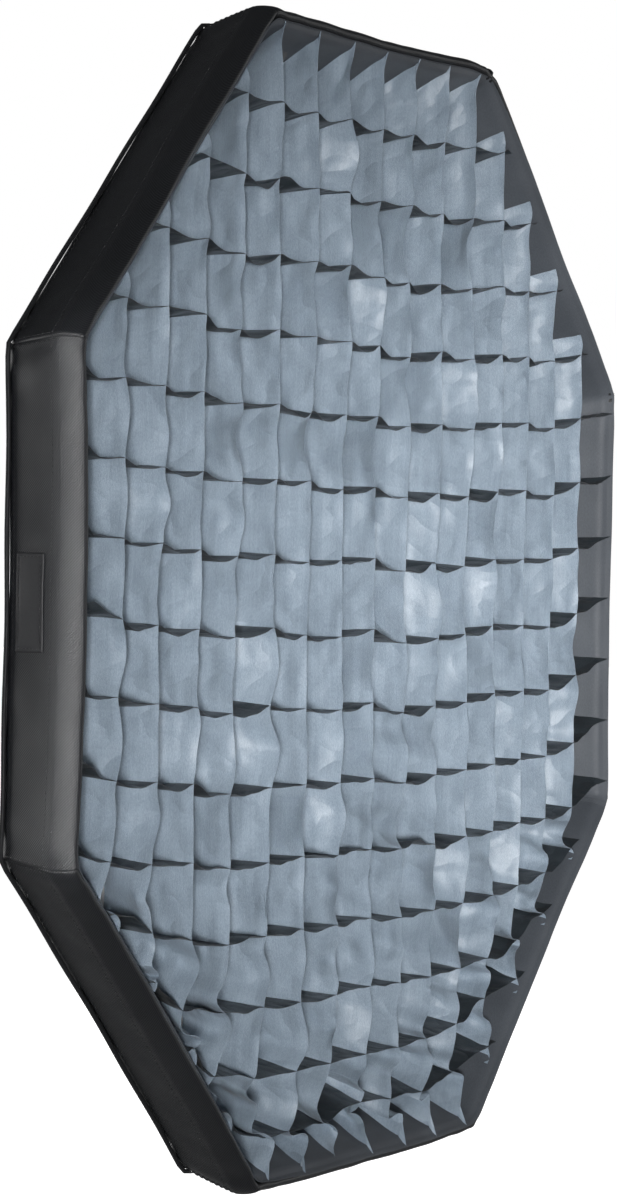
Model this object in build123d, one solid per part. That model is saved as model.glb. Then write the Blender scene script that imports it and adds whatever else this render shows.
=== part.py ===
from build123d import *
import math
import os

# Octagonal studio softbox with a fabric egg-crate grid, in millimetres.
#
# The pieces are drawn in a bench frame: z runs forwards along the light's axis, y is up and
# x is to the right. save() turns them into the part's frame, where the light shines along
# -Y and +Z is up. The origin is on the light's axis, in the plane where the mounting
# insert seats against the lamp head.
#
# "Apothem" lengths run from the axis to the middle of a flat side, and "corner" lengths
# from the axis to a corner of the octagon.

# ---- The cloth box ----
SIDES = 8
FRONT_FLATS = 950.0        # across the flats, outside, at the front lip
SKIRT_FLARE = 14.0         # how much further out each side is at the lip than at the rim
SHELL_DEPTH = 206.0        # from the shell's throat to its rim, along the axis
SHELL_BOW = 5.0            # how far the rods bow the shell out of its straight chord
THROAT_GAP = 3.0           # shell's throat round the hub
LIP_THICK = 12.0           # padded lip, seen from the front
NOSE_DEPTH = 20.0          # rounded front of the lip
SHELL_T = 1.2              # black outer cloth of the shell
LINING_T = 0.8             # silver reflecting lining
SKIRT_T = 1.5              # skirt cloth
CLOTH_GAP = 0.2            # air between two layers of cloth
PAD_GAP = 0.3              # round the padding inside the lip
PAD_LENGTH = 35.0          # padding, back from the front of the lip
PIPING_R = 2.0
BINDING_W = 8.0            # binding over each rib seam
BINDING_T = 0.9
BINDING_SPAN = (0.08, 0.985)  # its ends, as shares of the seam
COLLAR_SHARE = 0.06        # how far the collar reaches along the shell
PATCH_LENGTH = 74.0        # blank sewn patch on one side of the skirt
PATCH_WIDTH = 28.0
PATCH_T = 0.7
PATCH_FROM_RIM = 8.0

# ---- Hook-and-loop tapes, grid and diffusers ----
TAPE_T = 1.2
TAPE_GAP = 0.3             # between a hook tape and the loop tape that it grips
TAPE_W = 25.0
BAND_T = 1.0               # border band of the grid, hem of the diffuser
GRID_CELLS = 16            # cells across the flats, both ways
GRID_DEPTH = 48.0
GRID_RECESS = 6.0          # grid behind the front of the lip
GRID_TO_DIFFUSER = 4.4
STRIP_T = 0.6
SLOT_CLEARANCE = 0.1       # each side of a strip in its cross-lap slot
STRIP_END_GAP = 0.2
DIFFUSER_T = 0.6
DIFFUSER_HEM_W = 6.0
DIFFUSER_FROM_RIM = 5.0    # rear edge of the diffuser's hem, in front of the rim
BAFFLE_FLATS = 440.0
BAFFLE_FROM_RIM = 92.0     # inner baffle behind the rim
BAFFLE_HEM = (2.0, 5.0)    # thick, deep
STRAP = (10.0, 1.0)        # elastic straps of the baffle: wide, thick
STRAP_RING = (1.6, 6.0)    # their rings on the rods: wall, length

# ---- Rods ----
ROD_R = 3.0
ROD_FIT = 0.05             # rod in its ferrule, ferrule in its socket
ROD_TO_LINING = 0.6        # pockets and sockets clear of the lining
ROD_FROM_RIM = 22.0        # rod's tip before the rim, measured along the seam
FERRULE_WALL = 0.95
FERRULE_LENGTH = 44.0
TIP_WALL = 1.35
TIP_LENGTH = 20.0
TIP_END = 1.5              # end wall of a tip
TIP_FIT = 0.3              # tip in its pocket, ring on its rod
POCKET_WALL = 2.0
POCKET_END = 1.0
POCKET_LENGTH = 24.0

# ---- Hub and mounting insert ----
BORE_R = 49.0              # through opening for the lamp
BARREL_WALL = 8.0
BARREL_LENGTH = 10.0
LUGS = 3
LUG_REACH = 8.5            # lugs out from the barrel
LUG_ANGLE = 28.0
LUG_T = 2.5
LUG_SETBACK = 1.0
JOURNAL_WALL = 13.0
FLANGE_REACH = 8.0         # flange out from the journal
FLANGE_T = 8.0
HUB_WALL = 17.95
HUB_T = 11.4
END_FLOAT = 0.3            # hub between the flange and the retaining ring
TURN_FIT = 0.05            # hub's bore round the journal
RETAINER_REACH = 6.0       # retaining ring out from the journal
RETAINER_T = 3.0
RETAINER_BORE_GAP = 1.0
RETAINER_SCREWS = 4
SCREW_R = 1.5
SCREW_HEAD = (2.8, 1.8)    # radius, height
SCREW_LENGTH = 9.0
SCREW_FIT = 0.05
SOCKET_WALL = 2.45
SOCKET_SETBACK = 10.0      # a socket's axis crosses the hub's middle plane inside its rim
SOCKET_START = 4.0         # along the socket's axis from there: boss, floor, mouth
SOCKET_FLOOR = 10.0
SOCKET_LENGTH = 30.0

# ---- Rotation lock ----
LOCK_SCREW_R = 2.5
LOCK_BLOCK = (22.0, 18.0)  # wide, long
LOCK_BLOCK_GAP = 2.0       # from the flange's rim
LOCK_BLOCK_TO_SHELL = 1.0
SHOE = (12.0, 6.0, 4.9)    # wide, thick, long
SHOE_FIT = 0.2
SHOE_GAP = 0.1             # brake shoe to the flange's rim when tight
SHOE_TRAVEL_ROOM = 2.5     # pocket behind the shoe, and knob to block, when tight
KNOB_R = 10.0
KNOB_LENGTH = 14.0
KNOB_LOBES = 6
KNOB_GROOVE = (2.6, 1.2)   # radius of each groove, and its centre outside the knob
KNOB_EDGE = 1.5
KNOB_GRIP_DEPTH = 9.0      # how far the screw goes into the knob
KNOB_CLEARANCE = 1.0       # room for fingers and cloth round the knob

# ---- Values that follow ----
HALF_SIDE = math.pi / SIDES
APOTHEM_TO_CORNER = 1 / math.cos(HALF_SIDE)
FRONT_A = FRONT_FLATS / 2
REAR_A = FRONT_A - SKIRT_FLARE
LIP_INNER_A = FRONT_A - LIP_THICK
SKIRT_DEPTH = (DIFFUSER_FROM_RIM + DIFFUSER_HEM_W + DIFFUSER_T + GRID_TO_DIFFUSER
               + GRID_DEPTH + GRID_RECESS)
BARREL_R = BORE_R + BARREL_WALL
LUG_R = BARREL_R + LUG_REACH
JOURNAL_R = BORE_R + JOURNAL_WALL
FLANGE_R = JOURNAL_R + FLANGE_REACH
RETAINER_R = JOURNAL_R + RETAINER_REACH
HUB_BORE_R = JOURNAL_R + TURN_FIT
HUB_R = HUB_BORE_R + HUB_WALL
THROAT_A = HUB_R + THROAT_GAP
SOCKET_AXIS_R = HUB_R - SOCKET_SETBACK
FERRULE_R = ROD_R + ROD_FIT + FERRULE_WALL
SOCKET_R = FERRULE_R + ROD_FIT + SOCKET_WALL
TIP_R = ROD_R + ROD_FIT + TIP_WALL
POCKET_R = TIP_R + TIP_FIT + POCKET_WALL
ROD_INSET = SHELL_T + CLOTH_GAP + LINING_T + ROD_TO_LINING + max(POCKET_R, SOCKET_R)
STRAP_RING_R = ROD_R + TIP_FIT + STRAP_RING[0]
LOCK_BLOCK_R = FLANGE_R + LOCK_BLOCK_GAP
HUB_MID_Z = FLANGE_T + END_FLOAT + HUB_T / 2
HUB_REAR_Z = FLANGE_T + END_FLOAT
RETAINER_Z = FLANGE_T + 2 * END_FLOAT + HUB_T
KEEP = 20.0                # how far cutting tools reach past what they cut


def along(angle):
    """Direction, as (radius, z), at an angle from the axis."""
    return math.sin(angle), math.cos(angle)


def inwards(angle):
    """The normal of that direction, into the box."""
    return -math.cos(angle), math.sin(angle)


class Bow:
    """A shallow arc in a plane through the axis, from the throat to the rim."""

    def __init__(self, start, end, bow):
        chord = math.dist(start, end)
        self.radius = chord**2 / (8 * bow) + bow / 2
        self.half = math.asin(chord / 2 / self.radius)
        self.slope = math.atan2(end[0] - start[0], end[1] - start[1])
        self.length = 2 * self.half * self.radius
        normal = inwards(self.angle(0))
        self.centre = tuple(s + self.radius * n for s, n in zip(start, normal))

    def angle(self, share):
        return self.slope + self.half * (1 - 2 * share)

    def point(self, share, inset=0.0):
        normal = inwards(self.angle(share))
        return tuple(c - (self.radius - inset) * n for c, n in zip(self.centre, normal))


def socket_z(rib):
    """Where the tangent of the rods' line at the throat crosses the sockets' radius."""
    r, z = rib.point(0, ROD_INSET)
    step = along(rib.angle(0))
    return z - (r - SOCKET_AXIS_R) / step[0] * step[1]


def bow_at(corner_scale, throat_z):
    start = (THROAT_A * corner_scale, throat_z)
    end = (REAR_A * corner_scale, throat_z + SHELL_DEPTH)
    return Bow(start, end, SHELL_BOW)


THROAT_Z = HUB_MID_Z - socket_z(bow_at(APOTHEM_TO_CORNER, 0))
RIM_Z = THROAT_Z + SHELL_DEPTH
LIP_Z = RIM_Z + SKIRT_DEPTH
NOSE_Z = LIP_Z - NOSE_DEPTH
SIDE_BOW = bow_at(1, THROAT_Z)
RIB_BOW = bow_at(APOTHEM_TO_CORNER, THROAT_Z)
FLARE = (FRONT_A - REAR_A) / (SKIRT_DEPTH - NOSE_DEPTH)


STAND = (Align.CENTER, Align.CENTER, Align.MIN)
HANG = (Align.CENTER, Align.CENTER, Align.MAX)


# ---- Tools ----
def section(*points):
    """A polygon of (radius, z) points in the plane of x and z."""
    return Plane.XZ * Polygon(*points, align=None)


def box(x, y, z):
    """A block between three pairs of bounds."""
    sizes = [high - low for low, high in (x, y, z)]
    middle = [(high + low) / 2 for low, high in (x, y, z)]
    return Pos(*middle) * Box(*sizes)


def ring(outer, inner, low, high):
    disc = Cylinder(outer, high - low) - Cylinder(inner, high - low + 2 * KEEP)
    return Pos(0, 0, (low + high) / 2) * disc


def turned(shape, step, steps, start=0.0):
    return Rot(0, 0, start + step * 360 / steps) * shape


def all_round(shape, steps=SIDES, start=0.0):
    return [turned(shape, k, steps, start) for k in range(steps)]


def wedge(half_angle, reach, low, high):
    """A slice of a disc, centred on the x axis."""
    wide = reach * math.tan(half_angle)
    return Pos(0, 0, low) * extrude(Polygon((0, 0), (reach, -wide), (reach, wide), align=None), high - low)


def side(face, number=0):
    """A section carried along one side of the octagon, with mitred ends."""
    tip = FRONT_A + KEEP
    bar = extrude(face, tip * math.tan(HALF_SIDE), both=True)
    return turned(bar & wedge(HALF_SIDE, tip, -KEEP, LIP_Z + KEEP), number, SIDES)


def octagon_band(face):
    """The same section round all the sides, as one piece."""
    sides = [side(face, k) for k in range(SIDES)]
    return sides[0] + sides[1:]


def octagon(apothem, low, high):
    flat = RegularPolygon(apothem, SIDES, major_radius=False, rotation=180 / SIDES)
    return Pos(0, 0, low) * extrude(flat, high - low)


def bow_band(bow, near, far, first=0.0, last=1.0):
    """The section of a layer of cloth, between two insets from an arc."""
    points = [(s, inset) for inset in (near, far) for s in (first, (first + last) / 2, last)]
    a, b, c, d, e, f = [bow.point(s, inset) for s, inset in points]
    edges = [ThreePointArc(a, b, c), Line(c, f), ThreePointArc(f, e, d), Line(d, a)]
    return Plane.XZ * make_face(edges)


def save(name, pieces):
    solids = [s for p in pieces for s in (Rot(90, 0, 0) * p).solids()]
    export_step(Compound(solids) if len(solids) > 1 else solids[0], f"parts/{name}.step")


# ---- The mounting insert, which twists into the lamp head ----
def mount_insert():
    body = ring(BARREL_R, BORE_R, -BARREL_LENGTH, 0) + ring(FLANGE_R, BORE_R, 0, FLANGE_T)
    body += ring(JOURNAL_R, BORE_R, FLANGE_T, RETAINER_Z)
    low = -BARREL_LENGTH + LUG_SETBACK
    lug = ring(LUG_R, (BORE_R + BARREL_R) / 2, low, low + LUG_T)
    lug &= wedge(math.radians(LUG_ANGLE / 2), LUG_R + KEEP, low, low + LUG_T)
    body += all_round(lug, LUGS, 90)
    hole = Pos(retainer_screw_r(), 0, RETAINER_Z - SCREW_LENGTH / 2)
    body -= all_round(hole * Cylinder(SCREW_R + SCREW_FIT, SCREW_LENGTH + 2), RETAINER_SCREWS, 45)
    return body


def retainer_screw_r():
    return (BORE_R + RETAINER_BORE_GAP + JOURNAL_R) / 2


def retaining_ring():
    body = ring(RETAINER_R, BORE_R + RETAINER_BORE_GAP, RETAINER_Z, RETAINER_Z + RETAINER_T)
    hole = Pos(retainer_screw_r(), 0, RETAINER_Z) * Cylinder(SCREW_R + SCREW_FIT, 2 * KEEP)
    return body - all_round(hole, RETAINER_SCREWS, 45)


def retainer_screws():
    top = RETAINER_Z + RETAINER_T
    head_r, head_t = SCREW_HEAD
    head = Pos(0, 0, top) * Cylinder(head_r, head_t, align=STAND)
    shank = Pos(0, 0, top) * Cylinder(SCREW_R, SCREW_LENGTH, align=HANG)
    socket = Pos(0, 0, top + head_t) * extrude(RegularPolygon(SCREW_R, 6), head_t, both=True)
    screw = head + shank - socket
    return all_round(Pos(retainer_screw_r(), 0, 0) * screw, RETAINER_SCREWS, 45)


# ---- The hub, which carries the rods and turns on the insert ----
def socket_frame():
    """Local z along a rod as it leaves its socket, in the plane of x and z."""
    r, z = along(RIB_BOW.angle(0))
    return Plane(origin=(SOCKET_AXIS_R, 0, HUB_MID_Z), x_dir=(0, 1, 0), z_dir=(r, 0, z))


def lock_block():
    wide, long = LOCK_BLOCK
    top = THROAT_Z - LOCK_BLOCK_TO_SHELL
    return box((LOCK_BLOCK_R, LOCK_BLOCK_R + long), (-wide / 2, wide / 2), (0, top))


def hub_ring():
    body = ring(HUB_R, HUB_BORE_R, HUB_REAR_Z, HUB_REAR_Z + HUB_T)
    boss = Pos(0, 0, SOCKET_START) * Cylinder(SOCKET_R, SOCKET_LENGTH - SOCKET_START, align=STAND)
    hole = Pos(0, 0, SOCKET_FLOOR) * Cylinder(FERRULE_R + ROD_FIT, SOCKET_LENGTH, align=STAND)
    body += all_round(socket_frame() * boss, start=180 / SIDES)
    body += Rot(0, 0, -90) * lock_block()
    body -= all_round(socket_frame() * hole, start=180 / SIDES)
    body -= Cylinder(HUB_BORE_R, 3 * RETAINER_Z)
    return body - Rot(0, 0, -90) * lock_space()


def lock_space():
    """The brake shoe's pocket and the screw's hole."""
    wide, thick, long = SHOE
    across, high = wide / 2 + SHOE_FIT, thick / 2 + SHOE_FIT
    end = FLANGE_R + SHOE_GAP + long + SHOE_TRAVEL_ROOM
    pocket = box((FLANGE_R, end), (-across, across), (LOCK_Z - high, LOCK_Z + high))
    hole = Cylinder(LOCK_SCREW_R + SCREW_FIT, 2 * LOCK_BLOCK[1], align=STAND)
    return pocket + on_lock_axis(hole, FLANGE_R)


LOCK_Z = FLANGE_T / 2


def on_lock_axis(shape, start):
    """A shape drawn along local z, laid along the radius of the lock's screw."""
    return Plane(origin=(start, 0, LOCK_Z), x_dir=(0, 1, 0), z_dir=(1, 0, 0)) * shape


def brake_shoe():
    wide, thick, long = SHOE
    start = FLANGE_R + SHOE_GAP
    block = box((start - 1, start + long), (-wide / 2, wide / 2), (LOCK_Z - thick / 2, LOCK_Z + thick / 2))
    return Rot(0, 0, -90) * (block - Pos(0, 0, LOCK_Z) * Cylinder(start, FLANGE_T))


KNOB_START_R = LOCK_BLOCK_R + LOCK_BLOCK[1] + SHOE_TRAVEL_ROOM


def lock_screw():
    start = FLANGE_R + SHOE_GAP + SHOE[2] + ROD_FIT
    length = KNOB_START_R + KNOB_GRIP_DEPTH - start
    return Rot(0, 0, -90) * on_lock_axis(Cylinder(LOCK_SCREW_R, length, align=STAND), start)


def lock_knob():
    body = Cylinder(KNOB_R, KNOB_LENGTH, align=STAND)
    body = fillet(body.edges().filter_by(GeomType.CIRCLE), KNOB_EDGE)
    groove_r, out = KNOB_GROOVE
    body -= all_round(Pos(KNOB_R + out, 0, 0) * Cylinder(groove_r, 3 * KNOB_LENGTH), KNOB_LOBES)
    body -= Cylinder(LOCK_SCREW_R + SCREW_FIT, KNOB_GRIP_DEPTH + SCREW_FIT, align=STAND)
    return Rot(0, 0, -90) * on_lock_axis(body, KNOB_START_R)


# ---- Rods ----
def rod_line():
    """The route of a rod in the plane of x and z: straight, bowed, straight."""
    start = socket_frame().origin + socket_frame().z_dir * (SOCKET_FLOOR + CLOTH_GAP)
    leave = start + socket_frame().z_dir * (FERRULE_LENGTH + 1)
    share = 1 - (ROD_FROM_RIM + POCKET_LENGTH) / RIB_BOW.length
    r, z = RIB_BOW.point(share, ROD_INSET)
    bend = TangentArc(leave, (r, 0, z), tangent=socket_frame().z_dir)
    end = bend @ 1 + (bend % 1) * POCKET_LENGTH
    return Wire([Line(start, leave), bend, Line(bend @ 1, end)])


ROD_LINE = rod_line()


def on_rod(share):
    """Local z along the rod's line, at a share of its length."""
    return Plane(origin=ROD_LINE @ share, x_dir=(0, 1, 0), z_dir=ROD_LINE % share)


def rod():
    return sweep(on_rod(0) * Circle(ROD_R), ROD_LINE)


def rod_ferrule():
    tube = Cylinder(FERRULE_R, FERRULE_LENGTH) - Cylinder(ROD_R + ROD_FIT, FERRULE_LENGTH)
    return on_rod(0) * Pos(0, 0, FERRULE_LENGTH / 2) * tube


def rod_tip():
    cap = Pos(0, 0, TIP_END) * Cylinder(TIP_R, TIP_LENGTH, align=HANG)
    cap = fillet(cap.edges().sort_by(Axis.Z)[-1], min(TIP_END, TIP_WALL) * 0.85)
    cap -= Pos(0, 0, ROD_FIT) * Cylinder(ROD_R + ROD_FIT, 2 * TIP_LENGTH, align=HANG)
    return on_rod(1) * cap


def corner_pocket():
    end = TIP_END + TIP_FIT
    pocket = Pos(0, 0, end + POCKET_END) * Cylinder(POCKET_R, POCKET_LENGTH, align=HANG)
    room = Pos(0, 0, end) * Cylinder(TIP_R + TIP_FIT, 2 * POCKET_LENGTH, align=HANG)
    return on_rod(1) * (pocket - room)


# ---- Shell ----
def seam_binding():
    face = bow_band(RIB_BOW, -CLOTH_GAP, -CLOTH_GAP - BINDING_T, *BINDING_SPAN)
    return extrude(face, BINDING_W / 2, both=True)


def rear_collar():
    """Hem of the shell's throat, which grips the hub from behind."""
    angle = SIDE_BOW.angle(0)
    r, z = SIDE_BOW.point(0, -CLOTH_GAP)
    step, rear = along(angle), [-SHELL_T * n for n in inwards(angle)]
    back = (THROAT_GAP - 2 * CLOTH_GAP) / step[0]
    near = (r - step[0] * back, z - step[1] * back)
    far = SIDE_BOW.point(COLLAR_SHARE, -CLOTH_GAP)
    far_rear = (far[0] + rear[0], far[1] + rear[1])
    near_rear = (near[0] + rear[0], near[1] + rear[1])
    half = LOCK_BLOCK[0] / 2 + 1
    notch = box((0, LOCK_BLOCK_R + LOCK_BLOCK[1] + 1), (-half, half), (-KEEP, THROAT_Z + 2 * KEEP))
    knob_room = Cylinder(KNOB_R + KNOB_CLEARANCE, KNOB_LENGTH + 2 * KNOB_CLEARANCE, align=STAND)
    knob_room = on_lock_axis(knob_room, KNOB_START_R - KNOB_CLEARANCE)
    return octagon_band(section(near, far, far_rear, near_rear)) - Rot(0, 0, -90) * (notch + knob_room)


def shell_panel(number):
    return side(bow_band(SIDE_BOW, 0, SHELL_T, 0, rim_share(SHELL_T)), number)


def lining_panel(number):
    outer = SHELL_T + CLOTH_GAP
    return side(bow_band(SIDE_BOW, outer, outer + LINING_T, 0, rim_share(outer + LINING_T)), number)


def rim_share(inset):
    """How far along the arc a layer ends, so that it stays behind the rim."""
    return 1 - (inset * math.tan(SIDE_BOW.angle(1)) + CLOTH_GAP) / SIDE_BOW.length


# ---- Skirt and lip ----
def skirt_r(z):
    """The outside of the skirt, between the rim and the start of the lip's nose."""
    return REAR_A + FLARE * (z - RIM_Z)


def lip_section(inset):
    """The padded part of the lip, drawn in from its outline all round."""
    outer, inner = FRONT_A - inset, LIP_INNER_A + inset
    apex = (inner, RIM_Z + (inner + inset - REAR_A) / FLARE)
    nose = EllipticalCenterArc(((outer + inner) / 2, NOSE_Z), (outer - inner) / 2, NOSE_DEPTH - inset, 0, arc_size=180)
    face = make_face([Line(apex, (outer, NOSE_Z)), nose, Line((inner, NOSE_Z), apex)])
    return Plane.XZ * face


def skirt_panel(number):
    rear, front = (REAR_A, RIM_Z), (FRONT_A, NOSE_Z)
    wall = section((rear[0] - SKIRT_T, rear[1]), rear, front, (front[0] - SKIRT_T, front[1]))
    whole = side(wall) + side(lip_section(0))
    return turned(whole - side(lip_section(SKIRT_T)), number, SIDES)


def lip_padding(number):
    start = LIP_Z - PAD_LENGTH
    rear_part = section((0, 0), (FRONT_A, 0), (FRONT_A, start), (0, start))
    return side(lip_section(SKIRT_T + PAD_GAP) - rear_part, number)


def rim_piping():
    middle = (REAR_A + PIPING_R + CLOTH_GAP, RIM_Z - PIPING_R / 2)
    return octagon_band(Plane.XZ * (Pos(*middle) * Circle(PIPING_R)))


def blank_patch():
    """On the side that faces -x."""
    low, high = RIM_Z + PATCH_FROM_RIM, RIM_Z + PATCH_FROM_RIM + PATCH_WIDTH
    near, far = CLOTH_GAP, CLOTH_GAP + PATCH_T
    corners = [(skirt_r(low) + near, low), (skirt_r(low) + far, low),
               (skirt_r(high) + far, high), (skirt_r(high) + near, high)]
    return Rot(0, 0, 180) * extrude(section(*corners), PATCH_LENGTH / 2, both=True)


# ---- Grid ----
GRID_FRONT_Z = LIP_Z - GRID_RECESS
GRID_REAR_Z = GRID_FRONT_Z - GRID_DEPTH
GRID_LOOP_A = LIP_INNER_A - TAPE_T
GRID_HOOK_A = GRID_LOOP_A - TAPE_GAP
GRID_BAND_A = GRID_HOOK_A - TAPE_T
GRID_STRIPS_A = GRID_BAND_A - BAND_T
GRID_PITCH = 2 * GRID_STRIPS_A / GRID_CELLS
TAPE_FRONT_Z = NOSE_Z


def upright_band(outer, thick, low, high):
    return octagon_band(section((outer - thick, low), (outer, low), (outer, high), (outer - thick, high)))


def grid_loop_tape():
    return upright_band(LIP_INNER_A, TAPE_T, TAPE_FRONT_Z - TAPE_W, TAPE_FRONT_Z)


def grid_hook_tape():
    return upright_band(GRID_HOOK_A, TAPE_T, TAPE_FRONT_Z - TAPE_W, TAPE_FRONT_Z)


def grid_border():
    return upright_band(GRID_BAND_A, BAND_T, GRID_REAR_Z, GRID_FRONT_Z)


def strip_places():
    return [(k - GRID_CELLS / 2) * GRID_PITCH for k in range(1, GRID_CELLS)]


def strip_at(place, slot_low, slot_high):
    """A strip along x at a height, cut to the octagon, with its cross-lap slots."""
    half = STRIP_T / 2
    strip = box((-GRID_STRIPS_A, GRID_STRIPS_A), (place - half, place + half), (GRID_REAR_Z, GRID_FRONT_Z))
    strip &= octagon(GRID_STRIPS_A - STRIP_END_GAP, GRID_REAR_Z - 1, GRID_FRONT_Z + 1)
    wide = half + SLOT_CLEARANCE
    inside = GRID_STRIPS_A * math.sqrt(2) - abs(place)
    crossings = [p for p in strip_places() if abs(p) < inside]
    slots = [box((p - wide, p + wide), (place - 1, place + 1), (slot_low, slot_high)) for p in crossings]
    return strip - slots


def horizontal_strips():
    middle = (GRID_REAR_Z + GRID_FRONT_Z) / 2
    return [strip_at(p, GRID_REAR_Z - 1, middle + SLOT_CLEARANCE) for p in strip_places()]


def vertical_strips():
    middle = (GRID_REAR_Z + GRID_FRONT_Z) / 2
    strips = [strip_at(p, middle - SLOT_CLEARANCE, GRID_FRONT_Z + 1) for p in strip_places()]
    return [Rot(0, 0, 90) * s for s in strips]


# ---- Front diffuser, held behind the grid ----
DIFFUSER_REAR_Z = RIM_Z + DIFFUSER_FROM_RIM
DIFFUSER_FRONT_Z = DIFFUSER_REAR_Z + DIFFUSER_HEM_W


def wall_band(near, far):
    """A band that follows the flared inside of the skirt, between two insets from it."""
    low, high = DIFFUSER_REAR_Z, DIFFUSER_FRONT_Z
    inner_low, inner_high = skirt_r(low) - SKIRT_T, skirt_r(high) - SKIRT_T
    return octagon_band(section((inner_low - far, low), (inner_low - near, low),
                                (inner_high - near, high), (inner_high - far, high)))


def diffuser_loop_tape():
    return wall_band(0, TAPE_T)


def diffuser_hook_tape():
    return wall_band(TAPE_T + TAPE_GAP, 2 * TAPE_T + TAPE_GAP)


def diffuser_hem():
    return wall_band(2 * TAPE_T + TAPE_GAP, 2 * TAPE_T + TAPE_GAP + BAND_T)


def diffuser_sheet():
    apothem = skirt_r(DIFFUSER_FRONT_Z) - SKIRT_T - TAPE_T - TAPE_GAP
    return octagon(apothem, DIFFUSER_FRONT_Z, DIFFUSER_FRONT_Z + DIFFUSER_T)


# ---- Inner baffle ----
BAFFLE_Z = RIM_Z - BAFFLE_FROM_RIM
BAFFLE_A = BAFFLE_FLATS / 2


def baffle_sheet():
    return octagon(BAFFLE_A, BAFFLE_Z - DIFFUSER_T / 2, BAFFLE_Z + DIFFUSER_T / 2)


def baffle_hem():
    thick, deep = BAFFLE_HEM
    return upright_band(BAFFLE_A + thick, thick, BAFFLE_Z - deep / 2, BAFFLE_Z + deep / 2)


def rod_at_depth(z):
    """The share of a rod's line at which it reaches a depth."""
    low, high = 0.0, 1.0
    for _ in range(40):
        share = (low + high) / 2
        low, high = (share, high) if (ROD_LINE @ share).Z < z else (low, share)
    return share


def strap_ring_share():
    """Where a ring sits on its rod, so that its inner side lies in the baffle's plane."""
    return rod_at_depth(BAFFLE_Z - STRAP_RING_R * (ROD_LINE % rod_at_depth(BAFFLE_Z)).X)


def strap_ring():
    """A ring that slides on a rod and holds one strap."""
    hoop = Cylinder(STRAP_RING_R, STRAP_RING[1]) - Cylinder(ROD_R + TIP_FIT, STRAP_RING[1])
    return on_rod(strap_ring_share()) * hoop


def baffle_strap():
    wide, thick = STRAP
    start = (BAFFLE_A + BAFFLE_HEM[0]) * APOTHEM_TO_CORNER + CLOTH_GAP
    lean = ROD_LINE % strap_ring_share()
    ring_side = (ROD_LINE @ strap_ring_share()).X - STRAP_RING_R * lean.Z
    end = ring_side - (thick / 2 * lean.X + CLOTH_GAP) / lean.Z
    return box((start, end), (-wide / 2, wide / 2), (BAFFLE_Z - thick / 2, BAFFLE_Z + thick / 2))


# ---- Writing the pieces ----
def at_corners(shape):
    return all_round(shape, start=180 / SIDES)


def main():
    os.makedirs("parts", exist_ok=True)
    single = [mount_insert, retaining_ring, hub_ring, brake_shoe, lock_screw, lock_knob,
              rear_collar, rim_piping, blank_patch, grid_loop_tape, grid_hook_tape, grid_border,
              diffuser_loop_tape, diffuser_hook_tape, diffuser_hem, diffuser_sheet,
              baffle_sheet, baffle_hem]
    for piece in single:
        save(piece.__name__, [piece()])
    for group in (retainer_screws, horizontal_strips, vertical_strips):
        save(group.__name__, group())
    for name, piece in (("rod_ferrules", rod_ferrule), ("rod_tips", rod_tip), ("corner_pockets", corner_pocket),
                        ("seam_bindings", seam_binding), ("strap_rings", strap_ring), ("baffle_straps", baffle_strap)):
        save(name, at_corners(piece()))
    for name, panel in (("reflector_lining", lining_panel), ("lip_padding", lip_padding)):
        save(name, [panel(k) for k in range(SIDES)])
    for k, piece in enumerate(at_corners(rod())):
        save(f"rod_{k + 1}", [piece])
    for k in range(SIDES):
        save(f"shell_panel_{k + 1}", [shell_panel(k)])
        save(f"skirt_panel_{k + 1}", [skirt_panel(k)])


main()
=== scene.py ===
import math
from collections import Counter

import bpy
import numpy as np
from mathutils import Matrix, Vector, noise


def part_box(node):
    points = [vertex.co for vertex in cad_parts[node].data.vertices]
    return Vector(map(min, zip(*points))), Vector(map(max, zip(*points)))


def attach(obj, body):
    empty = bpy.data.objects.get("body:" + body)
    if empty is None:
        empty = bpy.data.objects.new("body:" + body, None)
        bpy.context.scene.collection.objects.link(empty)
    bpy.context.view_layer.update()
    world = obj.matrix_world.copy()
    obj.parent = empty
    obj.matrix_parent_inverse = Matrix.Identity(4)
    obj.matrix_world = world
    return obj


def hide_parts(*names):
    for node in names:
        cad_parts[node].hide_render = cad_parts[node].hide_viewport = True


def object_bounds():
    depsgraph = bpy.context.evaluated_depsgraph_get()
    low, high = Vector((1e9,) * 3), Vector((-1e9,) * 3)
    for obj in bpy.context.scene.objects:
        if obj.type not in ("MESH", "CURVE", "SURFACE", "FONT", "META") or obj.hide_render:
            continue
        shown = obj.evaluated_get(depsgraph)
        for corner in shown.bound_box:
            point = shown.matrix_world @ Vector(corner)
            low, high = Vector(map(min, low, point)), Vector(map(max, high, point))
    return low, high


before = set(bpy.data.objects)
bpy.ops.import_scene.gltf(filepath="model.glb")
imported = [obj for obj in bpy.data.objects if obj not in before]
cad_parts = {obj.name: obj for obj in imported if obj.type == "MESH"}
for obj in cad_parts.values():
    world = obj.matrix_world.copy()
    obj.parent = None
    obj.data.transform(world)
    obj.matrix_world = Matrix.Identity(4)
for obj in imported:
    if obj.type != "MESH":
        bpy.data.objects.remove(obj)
CAD_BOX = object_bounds()
RNG = np.random.default_rng(7)

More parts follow.
